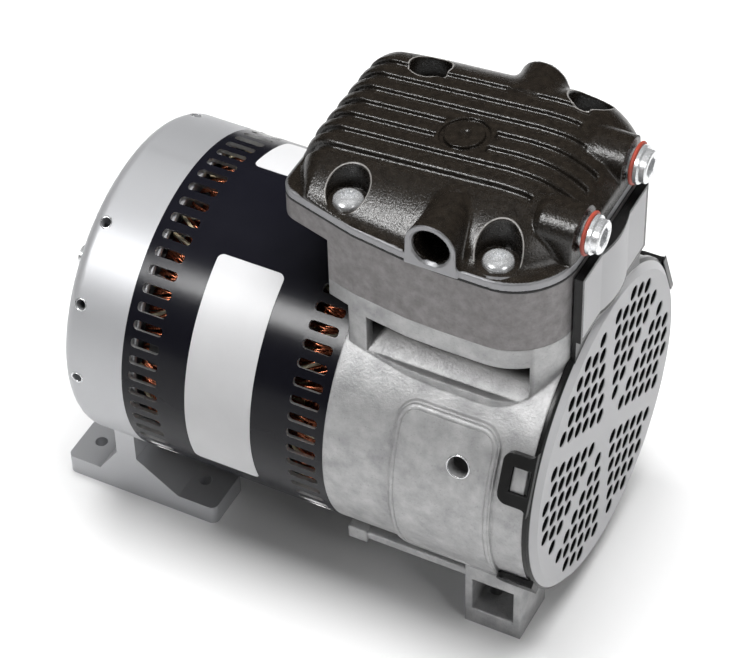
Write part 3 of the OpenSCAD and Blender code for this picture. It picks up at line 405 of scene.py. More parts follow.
def make_case_painted_shade():
    """Bare casting with shade painted in the neck window: darker with depth, fully dark from a set
    distance off the middle.
    """
    material = skin("case_casting_painted_shade", **CAST)
    tree = material.node_tree
    x, y, z = places_of(tree)
    along = math_of(tree, "ABSOLUTE", math_of(tree, "SUBTRACT", x, NECK_X))
    window_shade_paint = math_of(tree, "MULTIPLY", below(tree, along, NECK_HALF, 1 * MM),
                  above(tree, z, NECK_FOOT, 2 * MM),
                  below(tree, math_of(tree, "ABSOLUTE", y), WINDOW_SHADE_EDGE, WINDOW_SHADE_FADE))
    # Painted shade: near black on the barrel's skin inside the window, where the neck's wall shades it.
    mix_in(material, "Base Color", window_shade_paint, (0.03, 0.028, 0.026))
    return material


case_metal = make_case_painted_shade()


# %% Give each solid its finish
FINISHES = {
    shell_paint: ["motor_shell"],
    cast_metal: ["connecting_rod", "rotor_end_rings"],
    case_metal: ["crankcase"],
    plate_metal: ["valve_plate"],
    cover_painted_sheen: ["fan_cover"],
    bell_metal: ["rear_end_bell"],
    bright_turned: ["cylinder_sleeve", "cup_retainer"],
    black_plastic: ["front_fan", "thermal_protector"],
    rubber_black: ["head_gasket", "sleeve_seal"],
    rubber_red: ["plug_gaskets"],
    label_film: ["side_label", "top_label"],
    liner_sheet: ["slot_insulation"],
    lamination: ["stator_core", "rotor_core"],
    zinc: ["head_screws", "port_plugs", "through_bolts", "valve_screws"],
    steel: ["shaft", "eccentric", "eccentric_screw", "fan_clip", "front_bearing_outer",
            "rear_bearing_outer", "front_bearing_inner", "rear_bearing_inner", "rod_bearing_inner",
            "rod_bearing_outer", "wave_washer", "valve_stop", "intake_reed", "exhaust_reed",
            "retainer_screw"],
    copper: ["rear_winding", "front_winding"],
    cup_plastic: ["cup_seal"],
}


def dress(piece, material):
    """Makes material the piece's only one."""
    piece.data.materials.clear()
    piece.data.materials.append(material)


for material, names in FINISHES.items():
    for name in names:
        dress(nodes[name], material)
print("solids with a finish:", sum(len(v) for v in FINISHES.values()), "of", len(nodes))


# %% [markdown]
# ## Making a mesh
#
# Numpy works out all points of a surface at once; one call then puts them into Blender.


# %% Mesh helper
def make_piece(name, points, faces, material, body="frame"):
    """A mesh piece from points in millimetres from the seam and lists of corners, riding on body."""
    mesh = bpy.data.meshes.new(name)
    mesh.from_pydata(to_frame(points).tolist(), [], np.asarray(faces).tolist())
    mesh.validate()
    mesh.shade_smooth()
    piece = bpy.data.objects.new(name, mesh)
    bpy.context.scene.collection.objects.link(piece)
    mesh.materials.append(material)
    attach(piece, body)
    return piece


# %% Grids, turned pieces and closing
def grid_faces(rows, columns, wrap_rows=False, wrap_columns=True):
    """Four-cornered faces of a grid of points, numbered row by row, wrapped round where asked."""
    r = np.arange(rows if wrap_rows else rows - 1)[:, None]
    c = np.arange(columns if wrap_columns else columns - 1)[None, :]
    r2, c2 = (r + 1) % rows, (c + 1) % columns
    quads = [r * columns + c, r * columns + c2, r2 * columns + c2, r2 * columns + c]
    return np.stack(np.broadcast_arrays(*quads), axis=-1).reshape(-1, 4)


def close_up(piece, gap=0.00001):
    """Merges doubled points, drops faces without area and turns every face outwards."""
    mesh = bmesh.new()
    mesh.from_mesh(piece.data)
    bmesh.ops.remove_doubles(mesh, verts=mesh.verts, dist=gap)
    bmesh.ops.dissolve_degenerate(mesh, edges=mesh.edges, dist=gap)
    bmesh.ops.recalc_face_normals(mesh, faces=mesh.faces)
    mesh.to_mesh(piece.data)
    mesh.free()
    piece.data.update()
    return piece


def keep_creases(piece, degrees=35):
    """Smooth shading that stays sharp where two faces meet at more than the angle."""
    piece.data.set_sharp_from_angle(angle=math.radians(degrees))
    return piece


def turn_of(count):
    """Equal steps round a full turn, without the last that would meet the first."""
    return np.linspace(0, 2 * np.pi, count, endpoint=False)


def turned(profile, around=None, lobes=None, sides=72):
    """A turned form: every profile row (along, radius) goes round an axis; lobes gives a factor on the
    radius by angle, such as a star or a hexagon, and around how much of it each row takes."""
    t = turn_of(sides)
    along, radius = np.array(profile, float).T
    shape = np.ones(sides) if lobes is None else lobes(t)[None, :] ** around[:, None]
    r = radius[:, None] * shape
    rows = np.broadcast_to(along[:, None], r.shape)
    return np.stack([rows, r * np.cos(t), r * np.sin(t)], axis=-1).reshape(-1, 3)


# %% [markdown]
# ## The slotted motor shell
#
# The shell is a rolled sheet with a row of punched air slots at each end. The slots have round
# corners, and through them the windings show. A grid of equal cells round the barrel does it: every
# cell is a ring of faces between a rectangle and a round-cornered hole, and neighbours share their
# edge points, so the sheet closes.

# %% Motor shell
BARREL_R, SHEET, AXIS = 66.0, 1.6, AXIS_Z / MM
SHELL_L, SLOTS, SLOT_INSET = 87.3, 56, 9.3
SLOT_HALF_L, SLOT_HALF_W, SLOT_ROUND, CELL_HALF_L = 6.2, 1.9, 1.45, 7.2


def on_barrel(x, phi, r):
    """A point at place x on a barrel of radius r: y = r sin phi, z = shaft height + r cos phi."""
    return np.stack(np.broadcast_arrays(x, r * np.sin(phi), AXIS + r * np.cos(phi)), axis=-1)


def slot_cell():
    """The slot's round-cornered outline and its cell's rectangle, point for point, as (x, arc)."""
    t = np.radians([0, 30, 60, 90])
    hole = np.stack([SLOT_HALF_L - SLOT_ROUND + SLOT_ROUND * np.cos(t),
                     SLOT_HALF_W - SLOT_ROUND + SLOT_ROUND * np.sin(t)], axis=1)
    half = np.pi * BARREL_R / SLOTS
    cell = np.array([[CELL_HALF_L, 0.4], [CELL_HALF_L, 2.2], [CELL_HALF_L, half],
                     [SLOT_HALF_L - SLOT_ROUND, half]])
    turns = [((1, 1), 1), ((-1, 1), -1), ((-1, -1), 1), ((1, -1), -1)]
    return [np.vstack([(part * sign)[::step] for sign, step in turns]) for part in (hole, cell)]


def make_shell():
    """Outer and inner sheet of cells and plain bands, slot walls, and a ring at each end."""
    hole, cell = slot_cell()
    n, pitch = len(hole), 2 * np.pi / SLOTS
    middle = (np.arange(SLOTS) + 0.5)[:, None] * pitch
    arcs = np.array([-np.pi * BARREL_R / SLOTS, -2.2, -0.4, 0.4, 2.2])
    around = (middle + arcs / BARREL_R).ravel()
    skins, places = (BARREL_R, BARREL_R - SHEET), (SLOT_INSET, SHELL_L - SLOT_INSET)
    bands = ((0, places[0] - CELL_HALF_L), (places[0] + CELL_HALF_L, places[1] - CELL_HALF_L),
             (places[1] + CELL_HALF_L, SHELL_L))
    cells = np.concatenate([grid_faces(2, n) + 2 * n * k for k in range(SLOTS)])
    strip = grid_faces(2, len(around))
    points, faces, count = [], [], 0

    def put(new_points, new_faces):
        nonlocal count
        points.append(new_points.reshape(-1, 3))
        faces.append(new_faces + count)
        count += new_points.size // 3

    for r in skins:
        for place in places:
            rings = [on_barrel(place + part[:, 0], middle + part[:, 1] / BARREL_R, r)
                     for part in (hole, cell)]
            put(np.stack(rings, axis=1), cells)
        for x0, x1 in bands:
            put(on_barrel(np.array([[x0], [x1]]), around, r), strip)
    for x in (0, SHELL_L):
        put(np.stack([on_barrel(x, around, r) for r in skins]), strip)
    sheet = sum(len(f) for f in faces)
    for place in places:
        rings = [on_barrel(place + hole[:, 0], middle + hole[:, 1] / BARREL_R, r) for r in skins]
        put(np.stack(rings, axis=1), cells)
    piece = make_piece("slotted_shell", np.concatenate(points), np.concatenate(faces), shell_paint)
    piece.data.materials.append(cut_edge)
    wall = (np.arange(len(piece.data.polygons)) >= sheet).astype(np.int32)
    piece.data.polygons.foreach_set("material_index", wall)
    return keep_creases(close_up(piece))


cut_edge = skin("cut_edge", (0.30, 0.30, 0.30), (0.50, 0.50, 0.50), 200, 1500,
                0.26, 0.40, 0.05, metallic=0.7)
shell = make_shell()
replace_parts(shell, "motor_shell")
print("shell:", len(shell.data.polygons), "faces")

# %% Rims of the bell's tapped holes
def make_rim(name, x, phi, hole=2.0, r=BARREL_R):
    """A bright countersink edge: a thin ring laid on a barrel of radius r, its section a flat oval."""
    a, t = turn_of(28)[:, None], turn_of(8)[None, :]
    out = hole + 0.3 + 0.32 * np.cos(t)
    points = on_barrel(x + out * np.cos(a), phi + out * np.sin(a) / r, r + 0.02 + 0.14 * np.sin(t))
    return close_up(make_piece(name, points.reshape(-1, 3), grid_faces(28, 8, True, True), bright_turned))


SIDES = {"near": -1, "far": 1}
HOLE_X, HOLE_PITCH = -20.5, 29
for word, side in SIDES.items():
    for k in range(3):
        make_rim(f"rim_{word}_{k}", HOLE_X, math.radians(side * (90 - k * HOLE_PITCH)))
print("rims:", 3 * len(SIDES))

# %% [markdown]
# ## The end windings
#
# Behind the slots sit the ends of the windings: bundles of lacquered copper wire that run round the
# iron and cross each other. A ring with an oval section carries them, and its skin is raised in
# ridges one wire wide that wander as they go round.


# %% Windings
RING_R, RING_HALF, RING_STEPS, SECTION_STEPS = 46.2, 7.0, 260, 132


def make_winding(name, x_iron, reach):
    """An oval ring: its section's half sizes are RING_HALF and half of reach, both a little squared by
    a power of 0.7, plus ridges whose height is the sine of a phase that wanders round the ring."""
    u, v = turn_of(RING_STEPS)[:, None], turn_of(SECTION_STEPS)[None, :]
    phase = 16 * v + 2.4 * np.sin(4 * u) + 1.3 * np.sin(9 * u + 1) + 0.9 * np.sin(15 * u + v)
    ridge = 0.75 * np.abs(np.sin(phase)) + 0.35 * np.sin(5 * u + 2 * v)
    c, s = np.cos(v), np.sin(v)
    along = x_iron + reach * (0.5 + 0.47 * np.sign(c) * np.abs(c) ** 0.7)
    along = along + np.sign(reach) * ridge * c * 0.6
    radius = RING_R + (RING_HALF + ridge) * np.sign(s) * np.abs(s) ** 0.7
    points = on_barrel(along, u, radius)
    faces = grid_faces(RING_STEPS, SECTION_STEPS, True, True)
    return close_up(make_piece(name, points.reshape(-1, 3), faces, copper))


for name, x_iron, reach, node in (("rear_wires", 19.0, -14.4, "rear_winding"),
                                  ("front_wires", SHELL_L - 19.3, 14.4, "front_winding")):
    wires = make_winding(name, x_iron, reach)
    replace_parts(wires, node)
    print(name, len(wires.data.polygons), "faces")

# %% [markdown]
# Over each winding lie loose strands and a few pale lacing cords, close under the shell, so that the
# slots look full. Each is a thin tube whose angle drifts while it bows outwards.


# %% Strands and cords
def make_strands(name, x0, x1, count, thick, r0, material, seed):
    """Thin tubes from x0 to x1: angle phi0 + lean s, radius r0 + bow sin(pi s), ends drawn to a point."""
    chance = np.random.default_rng(seed)
    start = 2 * np.pi * (np.arange(count) + chance.uniform(-0.3, 0.3, count)) / count
    lean = 0.10 * np.sin(5 * start) + chance.uniform(-0.09, 0.09, count)
    bow = chance.uniform(0.4, 3.2, count)
    s = np.array([0, 0, 0.12, 0.25, 0.38, 0.5, 0.62, 0.75, 0.88, 1, 1])[None, :, None]
    size = thick * np.array([0, 1, 1, 1, 1, 1, 1, 1, 1, 1, 0])[None, :, None]
    t = turn_of(6)[None, None, :]
    radius = r0 + bow[:, None, None] * np.sin(np.pi * s) + size * np.sin(t)
    phi = start[:, None, None] + lean[:, None, None] * s + size * np.cos(t) / r0
    points = on_barrel(x0 + (x1 - x0) * s, phi, radius)
    rows, sides = points.shape[1:3]
    tube = grid_faces(rows, sides)
    faces = np.concatenate([tube + rows * sides * k for k in range(count)])
    return close_up(make_piece(name, points.reshape(-1, 3), faces, material))


for end, x0, x1 in (("rear", 4.4, 18.5), ("front", SHELL_L - 18.8, SHELL_L - 4.6)):
    make_strands(f"{end}_strands", x0, x1, 330, 0.6, 57.6, copper, 3)
    make_strands(f"{end}_cords", x0, x1, 24, 0.8, 59.2, liner_sheet, 5)

# %% The bell's lip, seen through the slots
LIP = [(0.3, 61.6), (3.9, 61.6), (4.2, 61.9), (4.2, 63.8), (3.9, 64.1), (0.3, 64.1)]
LIP_SIDES = 112
seat = turned(LIP, sides=LIP_SIDES)
seat[:, 2] += AXIS
lip_faces = grid_faces(len(LIP), LIP_SIDES, True, True)
keep_creases(close_up(make_piece("bell_seat", seat, lip_faces, bell_metal)))
print("lip:", len(seat), "points")

# %% [markdown]
# ## The labels
#
# Two paper labels wrap the shell. They stay blank. A label is a strip of the barrel's own surface a
# hair above it, and its rows grow shorter near both ends, which rounds the corners.


# %% Labels
LABEL_OUT, LABEL_IN = 0.28, 0.08


def make_label(name, node, x0, x1, low, high, r=2.6):
    """A wrapped sheet: row by row along the arc, each row drawn in by the corner circle's sagitta."""
    middle = np.radians(90 - (low + high) / 2)
    half = np.radians((high - low) / 2) * BARREL_R
    ease = r * (1 - np.cos(np.linspace(0, np.pi / 2, 9)))
    arc = np.concatenate([-half + ease, np.linspace(-half + r, half - r, 40)[1:-1], half - ease[::-1]])
    near_end = np.clip(r - (half - np.abs(arc)), 0, r)
    draw_in = r - np.sqrt(np.maximum(r * r - near_end ** 2, 0))
    share = np.linspace(0, 1, 9)[None, :]
    x = (x0 + draw_in[:, None]) * (1 - share) + (x1 - draw_in[:, None]) * share
    phi = -(middle + arc[:, None] / BARREL_R)
    sheets = [on_barrel(x, phi, BARREL_R + t) for t in (LABEL_OUT, LABEL_IN)]
    rows, columns = x.shape
    face = grid_faces(rows, columns, False, False)
    number = np.arange(rows * columns).reshape(rows, columns)
    loop = np.concatenate([number[0], number[1:, -1], number[-1, -2::-1], number[-2:0:-1, 0]])
    after, under = np.roll(loop, -1), rows * columns
    edge = np.stack([loop, after, after + under, loop + under], axis=1)
    piece = make_piece(name, np.concatenate([p.reshape(-1, 3) for p in sheets]),
                       np.concatenate([face, face[:, ::-1] + under, edge]), label_film)
    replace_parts(keep_creases(close_up(piece)), node)
    return piece


side_sheet = make_label("side_sheet", "side_label", 28, SHELL_L - 31, -23, 60.7)
top_sheet = make_label("top_sheet", "top_label", 20, SHELL_L - 47.3, 98, 124)
print("labels:", len(side_sheet.data.polygons), len(top_sheet.data.polygons), "faces")

# %% [markdown]
# ## A casting as a field of distances
#
# The head is one casting in which bosses, ridges and screw wells run into a crowned top with fillets
# all round. A sheet of grid points can't branch like that, and bevels on a boolean tear where three
# fillets meet. So the shape is a field: a function that gives each point's distance to the skin,
# joined from simple forms with a soft maximum or minimum, whose softness is the fillet. The skin is
# then read off where the field is zero.


# %% Field helpers
def soft_max(a, b, k):
    """The larger of two distances, with a fillet of size k where they cross."""
    h = np.clip(0.5 - 0.5 * (b - a) / k, 0, 1)
    return b * (1 - h) + a * h + k * h * (1 - h)


def soft_min(a, b, k):
    """The smaller of two distances, with a fillet of size k where they cross."""
    return -soft_max(-a, -b, k)


def corner(p, q, r):
    """Distance to a quarter-round edge of radius r: p and q count outwards from the arc's centre."""
    return np.hypot(np.maximum(p, 0), np.maximum(q, 0)) + np.minimum(np.maximum(p, q), 0) - r


def outline_distance(x, y, corners):
    """Signed distance from points to a closed polygon: the nearest edge, negative inside."""
    best = np.full(np.broadcast(x, y).shape, 1e9)
    inside = np.zeros(best.shape, bool)
    for (x0, y0), (x1, y1) in zip(corners, np.roll(corners, -1, axis=0)):
        ex, ey = x1 - x0, y1 - y0
        t = np.clip(((x - x0) * ex + (y - y0) * ey) / (ex * ex + ey * ey), 0, 1)
        best = np.minimum(best, np.hypot(x - x0 - t * ex, y - y0 - t * ey))
        crosses = ((y0 > y) != (y1 > y)) & (x < (x1 - x0) * (y - y0) / (y1 - y0 + 1e-12) + x0)
        inside ^= crosses
    return np.where(inside, -best, best)


def skin_of(field, low, high, step):
    """The zero skin of a field on a grid: one point in each cell that the skin crosses, at the mean of
    its edge crossings, and one four-cornered face round each grid edge that it crosses."""
    axes = [np.arange(low[i], high[i] + step, step) for i in range(3)]
    value = field(axes[0][:, None, None], axes[1][None, :, None], axes[2][None, None, :])
    n = value.shape
    inner = value < 0
    count = sum(inner[i:n[0] - 1 + i, j:n[1] - 1 + j, k:n[2] - 1 + k].astype(np.int8)
                for i in (0, 1) for j in (0, 1) for k in (0, 1))
    cells = np.argwhere((count > 0) & (count < 8))
    number = np.full(count.shape, -1)
    number[tuple(cells.T)] = np.arange(len(cells))
    total, hits = np.zeros((len(cells), 3)), np.zeros((len(cells), 1))
    for axis in range(3):
        for other in ((0, 0), (0, 1), (1, 0), (1, 1)):
            start = np.insert(np.array(other), axis, 0)
            end = np.insert(np.array(other), axis, 1)
            a = value[tuple((cells + start).T)]
            b = value[tuple((cells + end).T)]
            crossed = ((a < 0) != (b < 0))[:, None]
            share = np.where(crossed[:, 0], a / np.where(a == b, 1, a - b), 0)[:, None]
            total += np.where(crossed, start + share * (end - start), 0)
            hits += crossed
    points = np.array(low) + step * (cells + total / hits)
    faces = []
    for axis in range(3):
        u, v = (axis + 1) % 3, (axis + 2) % 3
        near = [slice(None)] * 3
        far = [slice(None)] * 3
        near[axis], far[axis] = slice(0, n[axis] - 1), slice(1, n[axis])
        here, there = inner[tuple(near)], inner[tuple(far)]
        edges = np.argwhere(here != there)
        ok = (edges[:, u] > 0) & (edges[:, v] > 0) & (edges[:, u] < n[u] - 1) & (edges[:, v] < n[v] - 1)
        edges = edges[ok]
        outward = here[tuple(edges.T)]
        du, dv = np.eye(3, dtype=int)[u], np.eye(3, dtype=int)[v]
        ring = [number[tuple((edges - s * du - t * dv).T)] for s, t in ((1, 1), (0, 1), (0, 0), (1, 0))]
        quad = np.stack(ring, axis=1)
        quad[~outward] = quad[~outward][:, ::-1]
        faces.append(quad)
    return points, np.concatenate(faces)


def slope(field, p, reach=0.02):
    """The field's steepest direction at points p, by central differences."""
    out = np.zeros(p.shape)
    for i in range(3):
        step = np.zeros(3)
        step[i] = reach
        out[:, i] = (field(*(p + step).T) - field(*(p - step).T)) / (2 * reach)
    return out


def settle(field, points, limit, rounds=3):
    """Moves points onto the zero skin: against the slope by value over steepness, never past limit."""
    for _ in range(rounds):
        grad = slope(field, points)
        move = field(*points.T)[:, None] * grad / np.maximum((grad ** 2).sum(1, keepdims=True), 0.05)
        length = np.linalg.norm(move, axis=1, keepdims=True)
        points = points - move * np.minimum(1, limit / np.maximum(length, 1e-9))
    return points


def cast_piece(name, field, low, high, step, material, body="frame"):
    """A smooth piece read off a field, its shading taken from the field's slope."""
    points, faces = skin_of(field, low, high, step)
    points = settle(field, points, step * 0.6)
    piece = make_piece(name, points, faces, material, body)
    if len(piece.data.vertices) == len(points):
        grad = slope(field, points, 0.08)
        grad /= np.maximum(np.linalg.norm(grad, axis=1, keepdims=True), 1e-9)
        piece.data.normals_split_custom_set_from_vertices(grad.tolist())
    print(name, len(points), "points", len(faces), "faces")
    return piece


# %% [markdown]
# ## The cylinder head
#
# The head is a die casting under black enamel. Its crown falls to both sides in a wide round and
# has seven long grooves; the middle two stop short of the round pad. Each side has a port boss
# with a half-round ridge running up the crown, the front has two bosses for plugs, and four deep
# wells hold the screws.

# %% Head: places, in millimetres from the seam
HEAD_BACK, HEAD_FRONT, HEAD_HALF = 58.0, 171.0, 49.0
HEAD_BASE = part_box("cylinder_head")[0][2] / MM
FLANGE_TOP = HEAD_BASE + 3.6
WELLS = [(84.5, 33.5, 7.8), (146.5, 39.0, 8.1)]
WELL_FLOOR = HEAD_BASE + 3.75
PORT_X, PORT_Z, PORT_FACE = 125.0, HEAD_BASE + 10.4, 49.8
PLUG_Y, PLUG_Z, PLUG_FACE = 20.6, HEAD_BASE + 13.0, 172.4
BUTTON_X, BUTTON_R, BUTTON_RING = 114.5, 7.5, 8.4
CROWN_Y, CROWN_NEAR, CROWN_FAR, REAR_R, FRONT_R = 4.2, 42, 24, 12.8, 34
GROOVE_PITCH, GROOVE_END, OUTER_GROOVE_END = 8.4, 164.5, 150.5
GROOVES = [CROWN_Y + GROOVE_PITCH * k for k in range(-3, 4)]


def arc_points(mid, r, a0, a1, n):
    """Points on an arc: the middle plus the radius along each angle."""
    t = np.radians(np.linspace(a0, a1, n))
    return np.stack([mid[0] + r * np.cos(t), mid[1] + r * np.sin(t)], axis=1)


def head_outline():
    """The head's outline from above: a straight rear end, sides that swell forward, round corners."""
    length = HEAD_FRONT - HEAD_BACK
    rear_half = 0.775 * HEAD_HALF
    first = (HEAD_BACK + 0.3 * length, 0.925 * HEAD_HALF)
    rise = math.degrees(math.atan2(first[1] - rear_half, first[0] - HEAD_BACK - 8))
    side = np.vstack([
        arc_points((HEAD_BACK + 8, rear_half - 8), 8, 180, 90 + rise, 9),
        [first, (HEAD_BACK + 0.5 * length, 0.99 * HEAD_HALF), (HEAD_BACK + 0.62 * length, HEAD_HALF)],
        arc_points((HEAD_FRONT - 25, HEAD_HALF - 25), 25, 90, 0, 13)])
    return np.vstack([side, side[::-1] * [1, -1]])


OUTLINE = head_outline()


# %% Head: enamel with bare machined faces and painted rim highlights
BARE_STEP, BORE_HALF, BORE_EDGE = 0.05 * MM, 7.8 * MM, 48.2 * MM
RIM_GLINT_OUT, RIM_GLINT_HALF = 0.55, 0.12 * MM


def make_head_coat():
    """Black enamel, bare where a cutter passed, with a thin pale ring painted round each well as the
    highlight of its rounded rim.
    """
    material = skin("head_enamel", (0.009, 0.0074, 0.006), (0.020, 0.0162, 0.0125), 400, 1300,
                    0.15, 0.36, 0.42, Specular_IOR_Level=0.55)
    tree = material.node_tree
    x, y, z = places_of(tree)
    side = math_of(tree, "ABSOLUTE", y)
    away = math_of(tree, "ABSOLUTE", math_of(tree, "SUBTRACT", x, SEAM + (PORT_X - 0.75) * MM))
    off_bore = math_of(tree, "MAXIMUM", above(tree, away, BORE_HALF, 0.1 * MM),
                       above(tree, side, BORE_EDGE, 0.1 * MM))
    foot = math_of(tree, "MULTIPLY", off_bore, below(tree, z, (HEAD_BASE + 3.55) * MM, BARE_STEP))
    port = above(tree, side, (PORT_FACE - 0.75) * MM, BARE_STEP)
    plug = above(tree, x, SEAM + (PLUG_FACE - 0.5) * MM, BARE_STEP)
    bare = math_of(tree, "MAXIMUM", foot, port, plug)
    mix_in(material, "Base Color", bare, (0.28, 0.28, 0.29))
    mix_in(material, "Roughness", bare, 0.42)
    mix_in(material, "Metallic", bare, 0.7)
    gaps = []
    for well_x, well_y, well_r in WELLS:
        reach = length_of(tree, math_of(tree, "SUBTRACT", x, SEAM + well_x * MM),
                          math_of(tree, "SUBTRACT", side, well_y * MM))
        gap = math_of(tree, "SUBTRACT", reach, (well_r + RIM_GLINT_OUT) * MM)
        gaps.append(math_of(tree, "ABSOLUTE", gap))
    rim_glint_paint = math_of(tree, "MULTIPLY", below(tree, math_of(tree, "MINIMUM", *gaps), RIM_GLINT_HALF, 0.2 * MM),
                   above(tree, z, (FLANGE_TOP + 1.5) * MM, 0.5 * MM))
    # Painted highlight: a thin grey ring where each well's rounded rim catches the lamp.
    mix_in(material, "Base Color", rim_glint_paint, (0.24, 0.23, 0.22))
    return material


head_coat = make_head_coat()


# %% Head: the field
def head_field(x, y, z):
    """Distance to the head's skin: crown and flange, plus bosses, less grooves, wells and bores."""
    a = np.abs(y)
    plan = outline_distance(x, y, OUTLINE)
    top = HEAD_BASE + np.minimum(17.5 + (x - 76) * 0.083, 22.6)
    near = corner(CROWN_Y - y - 14, z - (top - CROWN_NEAR), CROWN_NEAR)
    far = corner(y - CROWN_Y - 24, z - (top - CROWN_FAR), CROWN_FAR)
    crown = np.maximum(near, far)
    rear = corner(HEAD_BACK + REAR_R - x, z - (top - REAR_R), REAR_R)
    front = corner(x - 144, z - (top - FRONT_R), FRONT_R)
    flat = z - top
    shape = crown + np.maximum(rear, front) - flat
    body = soft_max(soft_min(shape, z - FLANGE_TOP, 3.0), plan, 0.8)
    for line in GROOVES:
        at_rear = np.clip((72 - x) / 8, 0, 1)
        half = 1.5 + 0.6 * at_rear
        deep = 2.1 + 1.3 * at_rear
        cut = soft_max(np.abs(y - line) - half, -deep - shape, 1.2)
        cut = soft_max(cut, x - (OUTER_GROOVE_END if abs(line) > 20 else GROOVE_END), 1.5)
        if abs(line) < 5:
            cut = np.maximum(cut, BUTTON_RING + 2 - np.abs(x - BUTTON_X))
        body = soft_max(body, -cut, 1.5)
    from_button = np.hypot(x - BUTTON_X, y)
    ring = np.abs(from_button - BUTTON_RING)
    body = soft_max(body, -soft_max(ring - 1.0, -1.4 - shape, 0.6), 0.9)
    body = np.minimum(body, soft_max(from_button - BUTTON_R, flat - 0.35, 0.5))
    body = soft_max(body, 3.2 - np.sqrt((x - BUTTON_X) ** 2 + y ** 2 + (z - top - 2.2) ** 2), 0.4)
    narrow = np.clip((a - 29) / 20, 0, 1)
    radius = 6.4 + 3.5 * narrow
    middle = PORT_Z + 9.9 - radius + 0.4 * (1 - narrow)
    port_x = np.where(y > 0, PORT_X - 1.5, PORT_X)
    rise, short = np.maximum(z - middle, 0), np.maximum(31 - a, 0)
    body = soft_min(body, np.sqrt((x - port_x) ** 2 + rise ** 2 + short ** 2) - radius, 2.6)
    nose = 1.9 * np.maximum(157.5 - x, 0)
    boss = np.sqrt(nose ** 2 + (a - PLUG_Y) ** 2 + np.maximum(z - PLUG_Z, 0) ** 2) - 9.7
    body = soft_min(body, boss, 1.2)
    port_face = corner(np.abs(x - port_x), np.maximum(z - PORT_Z, 0), 9.9)
    body = np.maximum(body, np.maximum(a - PORT_FACE, plan - 30 * (port_face < 0.8)))
    body = np.maximum(body, x - PLUG_FACE)
    flange = soft_max(plan, z - FLANGE_TOP, 0.8)
    solid = np.minimum(body, flange)
    for wx, wy, wr in WELLS:
        well = np.maximum(np.hypot(x - wx, a - wy) - wr, WELL_FLOOR - z)
        solid = soft_max(solid, -well, 0.7)
    bore = np.hypot(x - port_x, z - PORT_Z) - 7.0 - np.clip(a - (PORT_FACE - 1.2), 0, 1.2)
    solid = np.maximum(solid, -np.maximum(bore, 33 - a))
    room = np.maximum(np.abs(x - 107.5) - 14, np.maximum(np.abs(y - 12) - 6, z - HEAD_BASE - 6))
    solid = np.maximum(solid, -room)
    return np.maximum(solid, HEAD_BASE - z)


head = cast_piece("head_casting", head_field, (55.03, -52.07, HEAD_BASE - 1.33),
                  (175, 52, HEAD_BASE + 26), 0.62, head_coat)
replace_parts(head, "cylinder_head")
dress(nodes["cylinder_head"], head_coat)

# %% [markdown]
# ## Borders of the case's side pads
#
# A low bead runs round each side pad just inside its edge, and the threaded hole in the pad has a
# bright rim. The bead is a stack of round-cornered outlines, each a little further in than the last,
# laid on the pad's round face; the height of each follows half a sine wave.


# %% Pad beads and rims
PAD_BACK, PAD_FRONT, PAD_LOW, PAD_HIGH, PAD_ROUND = 115.0, 157.0, AXIS - 42.24, AXIS + 40.0, 8.0
PAD_R, BEAD_IN, BEAD_W, BEAD_H, BEAD_SUNK = BARREL_R + 1.2, 0.5, 2.2, 0.42, -0.3
PAD_HOLE_BACK, PAD_HOLE_TURN, PAD_HOLE_R = 14.5, 70, 4.2


def pad_outline(inset):
    """The pad's outline, that far in: four corner arcs, as (x, z)."""
    x0, x1 = PAD_BACK + PAD_ROUND, PAD_FRONT - PAD_ROUND
    z0, z1 = PAD_LOW + PAD_ROUND, PAD_HIGH - PAD_ROUND
    mids = [(x1, z1, 0), (x0, z1, 90), (x0, z0, 180), (x1, z0, 270)]
    corners = [arc_points((x, z), PAD_ROUND - inset, a, a + 90, 8) for x, z, a in mids]
    rows = []
    for here, there in zip(corners, corners[1:] + corners[:1]):
        between = np.linspace(0, 1, 12)[1:-1, None]
        rows += [here, here[-1] * (1 - between) + there[0] * between]
    return np.vstack(rows)


def make_bead(name, side):
    """A closed bead: rows by inset with height h sin(pi s), and two rows sunk into the pad."""
    s = np.linspace(0, 1, 9)
    insets = np.concatenate([[BEAD_IN], BEAD_IN + BEAD_W * s, [BEAD_IN + BEAD_W]])
    heights = np.concatenate([[BEAD_SUNK], BEAD_H * np.sin(np.pi * s), [BEAD_SUNK]])
    flat = np.stack([pad_outline(inset) for inset in insets])
    x, z = flat[..., 0], flat[..., 1]
    y = side * np.sqrt((PAD_R + heights[:, None]) ** 2 - (z - AXIS) ** 2)
    points = np.stack([x, y, z], axis=-1).reshape(-1, 3)
    return close_up(make_piece(name, points, grid_faces(*x.shape, True, True), case_metal))


for word, side in SIDES.items():
    bead = make_bead(f"{word}_pad_bead", side)
    make_rim(f"{word}_pad_rim", PAD_FRONT - PAD_HOLE_BACK, math.radians(side * PAD_HOLE_TURN),
             PAD_HOLE_R, PAD_R)
print("bead:", len(bead.data.polygons), "faces")

# %% [markdown]
# ## Screws and plugs
#
# Four zinc-plated pan-head screws with a six-lobed recess hold the head, and two hex-socket plugs
# with red gaskets close its front ports. All are turned forms, and the recess rows swing their
# radius with the angle: a cosine of six waves for the star, the distance to a flat for the hexagon.


# %% Head screws
def dome_rows(r, z0, rise, r_in, n=9):
    """A domed top: height z0 + rise times the sine, radius r times the cosine, down to r_in."""
    t = np.linspace(0, math.acos(r_in / r), n)
    return [(z0 + rise * math.sin(a), r * math.cos(a)) for a in t]


